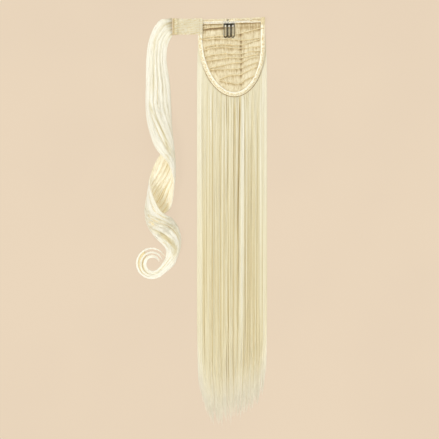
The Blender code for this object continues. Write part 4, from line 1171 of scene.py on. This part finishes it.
def make_strap(gold):
    """The loop strap with its pile, and the sewn band over its free end."""
    random = np.random.default_rng(53)
    middle = hem_line(-BASE_WIDTH / 2) + STRAP_DROP - STRAP_WIDTH / 2
    start, end = -BASE_WIDTH / 2 + STRAP_LAP, STRAP_END + 1.6 * MM
    half = STRAP_WIDTH / 2
    rings = []
    for k in range(91):
        x = start + (end - start) * k / 90
        across = np.concatenate((np.linspace(-1, 1, 25), np.linspace(1, -1, 25)))
        edge = 0.28 * MM * np.sin(k * 0.55 + 1) + 0.2 * MM * np.sin(k * 1.7)
        y = middle + across * (half - 0.35 * MM) + edge * np.sign(across) * (np.abs(across) > 0.9)
        thin = 0.5 * MM * np.abs(across) ** 6
        lift = np.concatenate((np.zeros(25), np.full(25, 1.45 * MM)))
        wave = 0.12 * MM * np.sin(across * 9 + k * 0.12)
        lift = lift + np.concatenate((thin[:25], -thin[25:])) + wave * (lift > 0)
        rings.append(np.column_stack((np.full(50, x), y, strap_floor(x) + 0.15 * MM + lift)))
    body("loop_strap", rings, strap_finish(), "strap", "strap")
    count = PILE_FIBRES
    x0 = random.uniform(STRAP_END + 1.5 * MM, start - 0.3 * MM, count)
    y0 = middle + half * random.uniform(-1, 1, count) * 0.985
    turn = random.normal(0, 0.9, count)
    size = random.uniform(0.5, 1.5, count) * MM
    share = np.linspace(-1, 1, 5)[None, :]
    curl = random.uniform(-0.6, 0.6, count)[:, None] * (1 - share**2)
    dx = size[:, None] * (np.cos(turn)[:, None] * share - np.sin(turn)[:, None] * curl)
    dy = size[:, None] * (np.sin(turn)[:, None] * share + np.cos(turn)[:, None] * curl)
    x, y = x0[:, None] + dx, y0[:, None] + dy
    y = np.clip(y, middle - half - 0.7 * MM, middle + half + 0.5 * MM)
    x = np.minimum(x, start)
    rim = np.abs(y - middle) / half
    z = strap_floor(x) + 1.45 * MM + (0.45 * MM + 0.35 * MM * (1 - share**2)) * (1 - 0.9 * rim**8)
    z = np.maximum(z, 4.7 * MM * (x0 < STRAP_END + 7.6 * MM)[:, None] + 0.2 * MM * (1 - share**2))
    band = sum(0.085 * np.sin(x0 * kx + y0 * ky + phase) for kx, ky, phase in zip(
        random.uniform(-600, 600, 9), random.uniform(700, 2400, 9), random.uniform(0, 6.3, 9)))
    band += 0.14 * soft_step(-BASE_WIDTH / 2 + 2.5 * MM, -BASE_WIDTH / 2 + 3.5 * MM, x0)
    low = -0.30 * np.exp(-(((y0 - (middle - half)) / (1.6 * MM)) ** 2))
    low *= (np.sin(x0 * 900) > 0.1)
    left = -0.16 * soft_step(STRAP_END + 14 * MM, STRAP_END + 6 * MM, x0)
    tones = 0.93 + band + low + left + random.normal(0, 0.12, count)
    pile = hair_finish("strap_pile", ((0.0, (0.34, 0.23, 0.08)), (0.28, (0.575, 0.45, 0.21)),
                                      (0.52, (0.72, 0.63, 0.38)), (0.78, (0.78, 0.73, 0.52)),
                                      (0.97, (0.82, 0.79, 0.66))), 0.7)
    strands("strap_pile", np.stack((x, y, z), axis=-1), 0.15 * MM, tones[:, None], pile, "strap")

    rings = []
    for k in range(61):
        share = k / 60
        y = middle + (half + 0.1 * MM) * (2 * share - 1)
        wave = 0.2 * MM * np.sin(k * 0.8) + 0.15 * MM * np.sin(k * 1.9)
        left, right = STRAP_END + 0.15 * MM * np.sin(k * 0.5), STRAP_END + END_BAND_WIDTH - 0.2 * MM
        high = 4.3 * MM + 0.15 * MM * np.sin(k * 0.9)
        section = (
            (left + 0.7 * MM, 0), (left, 0.8 * MM), (left, high - 0.8 * MM),
            (left + 0.6 * MM, high), (left + 2.2 * MM, high + wave),
            (left + 3.4 * MM, high - 0.3 * MM), (left + 5.0 * MM, high + wave),
            (right, high - 0.25 * MM), (right, high - 0.9 * MM),
            (left + 1.3 * MM, high - 0.9 * MM), (left + 1.3 * MM, 0.9 * MM),
            (right, 0.9 * MM), (right, 0),
        )
        rings.append([(x, y, GAP + z) for x, z in section])
    band = tape_finish("band_tape", (0.84, 0.77, 0.54), (0.73, 0.61, 0.34), (0.46, 0.33, 0.12), 0.9)
    body("end_band", rings, band, "strap", "strap_end_band")
    stitches = Threads()
    for k in range(46):
        y0 = middle + half * (2 * (k + 0.5) / 46 - 1)
        share = np.linspace(0, 1, 6)
        reach = (0.3 + 3.4 * share) * MM * (1 if k % 2 else 0.8)
        x = STRAP_END + reach + random.normal(0, 0.2 * MM)
        y = y0 + (0.9 * MM * share - 0.4 * MM) * (1 if k % 2 else -1)
        z = np.full(6, 4.75 * MM) + 0.3 * MM * np.sin(np.pi * share)
        stitches.add(x, y, z, random.uniform(0.05, 0.7))
    stitches.sew("band_stitches", 0.22 * MM, gold, "strap")
    tuft = Threads()
    x0, y0 = px(174.0, 34.4)
    for _ in range(26):
        share = np.linspace(0, 1, 6)
        turn = random.uniform(-2.6, -0.6)
        size = random.uniform(0.8, 2.0) * MM
        x = x0 + random.normal(0, 0.8 * MM) + size * share * np.cos(turn)
        y = y0 + random.normal(0, 0.3 * MM) + size * share * np.sin(turn)
        z = 3.2 * MM + 0.8 * MM * np.sin(np.pi * share) - 1.4 * MM * share
        tuft.add(x, y, z, random.uniform(0.1, 0.6))
    tuft.sew("band_tuft", 0.16 * MM, gold, "strap")


def make_comb():
    """The comb keeps its CAD form and gets its wire finish."""
    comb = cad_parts["comb"]
    comb.data.materials.clear()
    comb.data.materials.append(wire_finish())


def make_light():
    """Camera straight above, a plain surface, and soft light from two lamps and all round."""
    scene = bpy.context.scene
    camera = bpy.data.objects.new("camera", bpy.data.cameras.new("camera"))
    bpy.context.collection.objects.link(camera)
    camera.location = CAMERA_PLACE
    camera.data.sensor_width = CAMERA_SENSOR
    camera.data.lens = CAMERA_LENS
    camera.data.clip_end = 20.0
    scene.camera = camera
    mesh = bpy.data.meshes.new("backdrop")
    corners = ((-1, -1), (1, -1), (1, 1), (-1, 1))
    mesh.from_pydata([(x * BACKDROP_REACH, y * BACKDROP_REACH, 0) for x, y in corners], [],
                     [(0, 1, 2, 3)])
    backdrop = bpy.data.objects.new("backdrop", mesh)
    bpy.context.collection.objects.link(backdrop)
    mesh.materials.append(surface_finish())
    world = bpy.data.worlds.new("studio")
    world.use_nodes = True
    background = world.node_tree.nodes["Background"]
    background.inputs["Color"].default_value = STUDIO_COLOUR
    background.inputs["Strength"].default_value = STUDIO_LIGHT
    scene.world = world
    for name, energy, angle, tilt in LAMPS:
        light = bpy.data.lights.new(name, "SUN")
        light.energy, light.angle = energy, np.radians(angle)
        lamp = bpy.data.objects.new(name, light)
        lamp.rotation_euler = [float(np.radians(value)) for value in tilt]
        bpy.context.collection.objects.link(lamp)
    scene.view_settings.view_transform = "Standard"


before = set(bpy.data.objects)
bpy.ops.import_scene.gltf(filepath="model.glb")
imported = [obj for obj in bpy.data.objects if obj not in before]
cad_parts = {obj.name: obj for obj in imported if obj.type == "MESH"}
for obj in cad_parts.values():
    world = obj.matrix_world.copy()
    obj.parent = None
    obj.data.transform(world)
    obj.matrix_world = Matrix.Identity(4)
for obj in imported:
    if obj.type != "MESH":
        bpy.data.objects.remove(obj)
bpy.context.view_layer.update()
make_light()
hair_material = make_hair()
make_lock(hair_material)
net, net_area = make_net()
make_tracks()
make_binding()
make_hem()
make_tuck()
gold_thread = make_stitches()
make_strap(gold_thread)
make_comb()
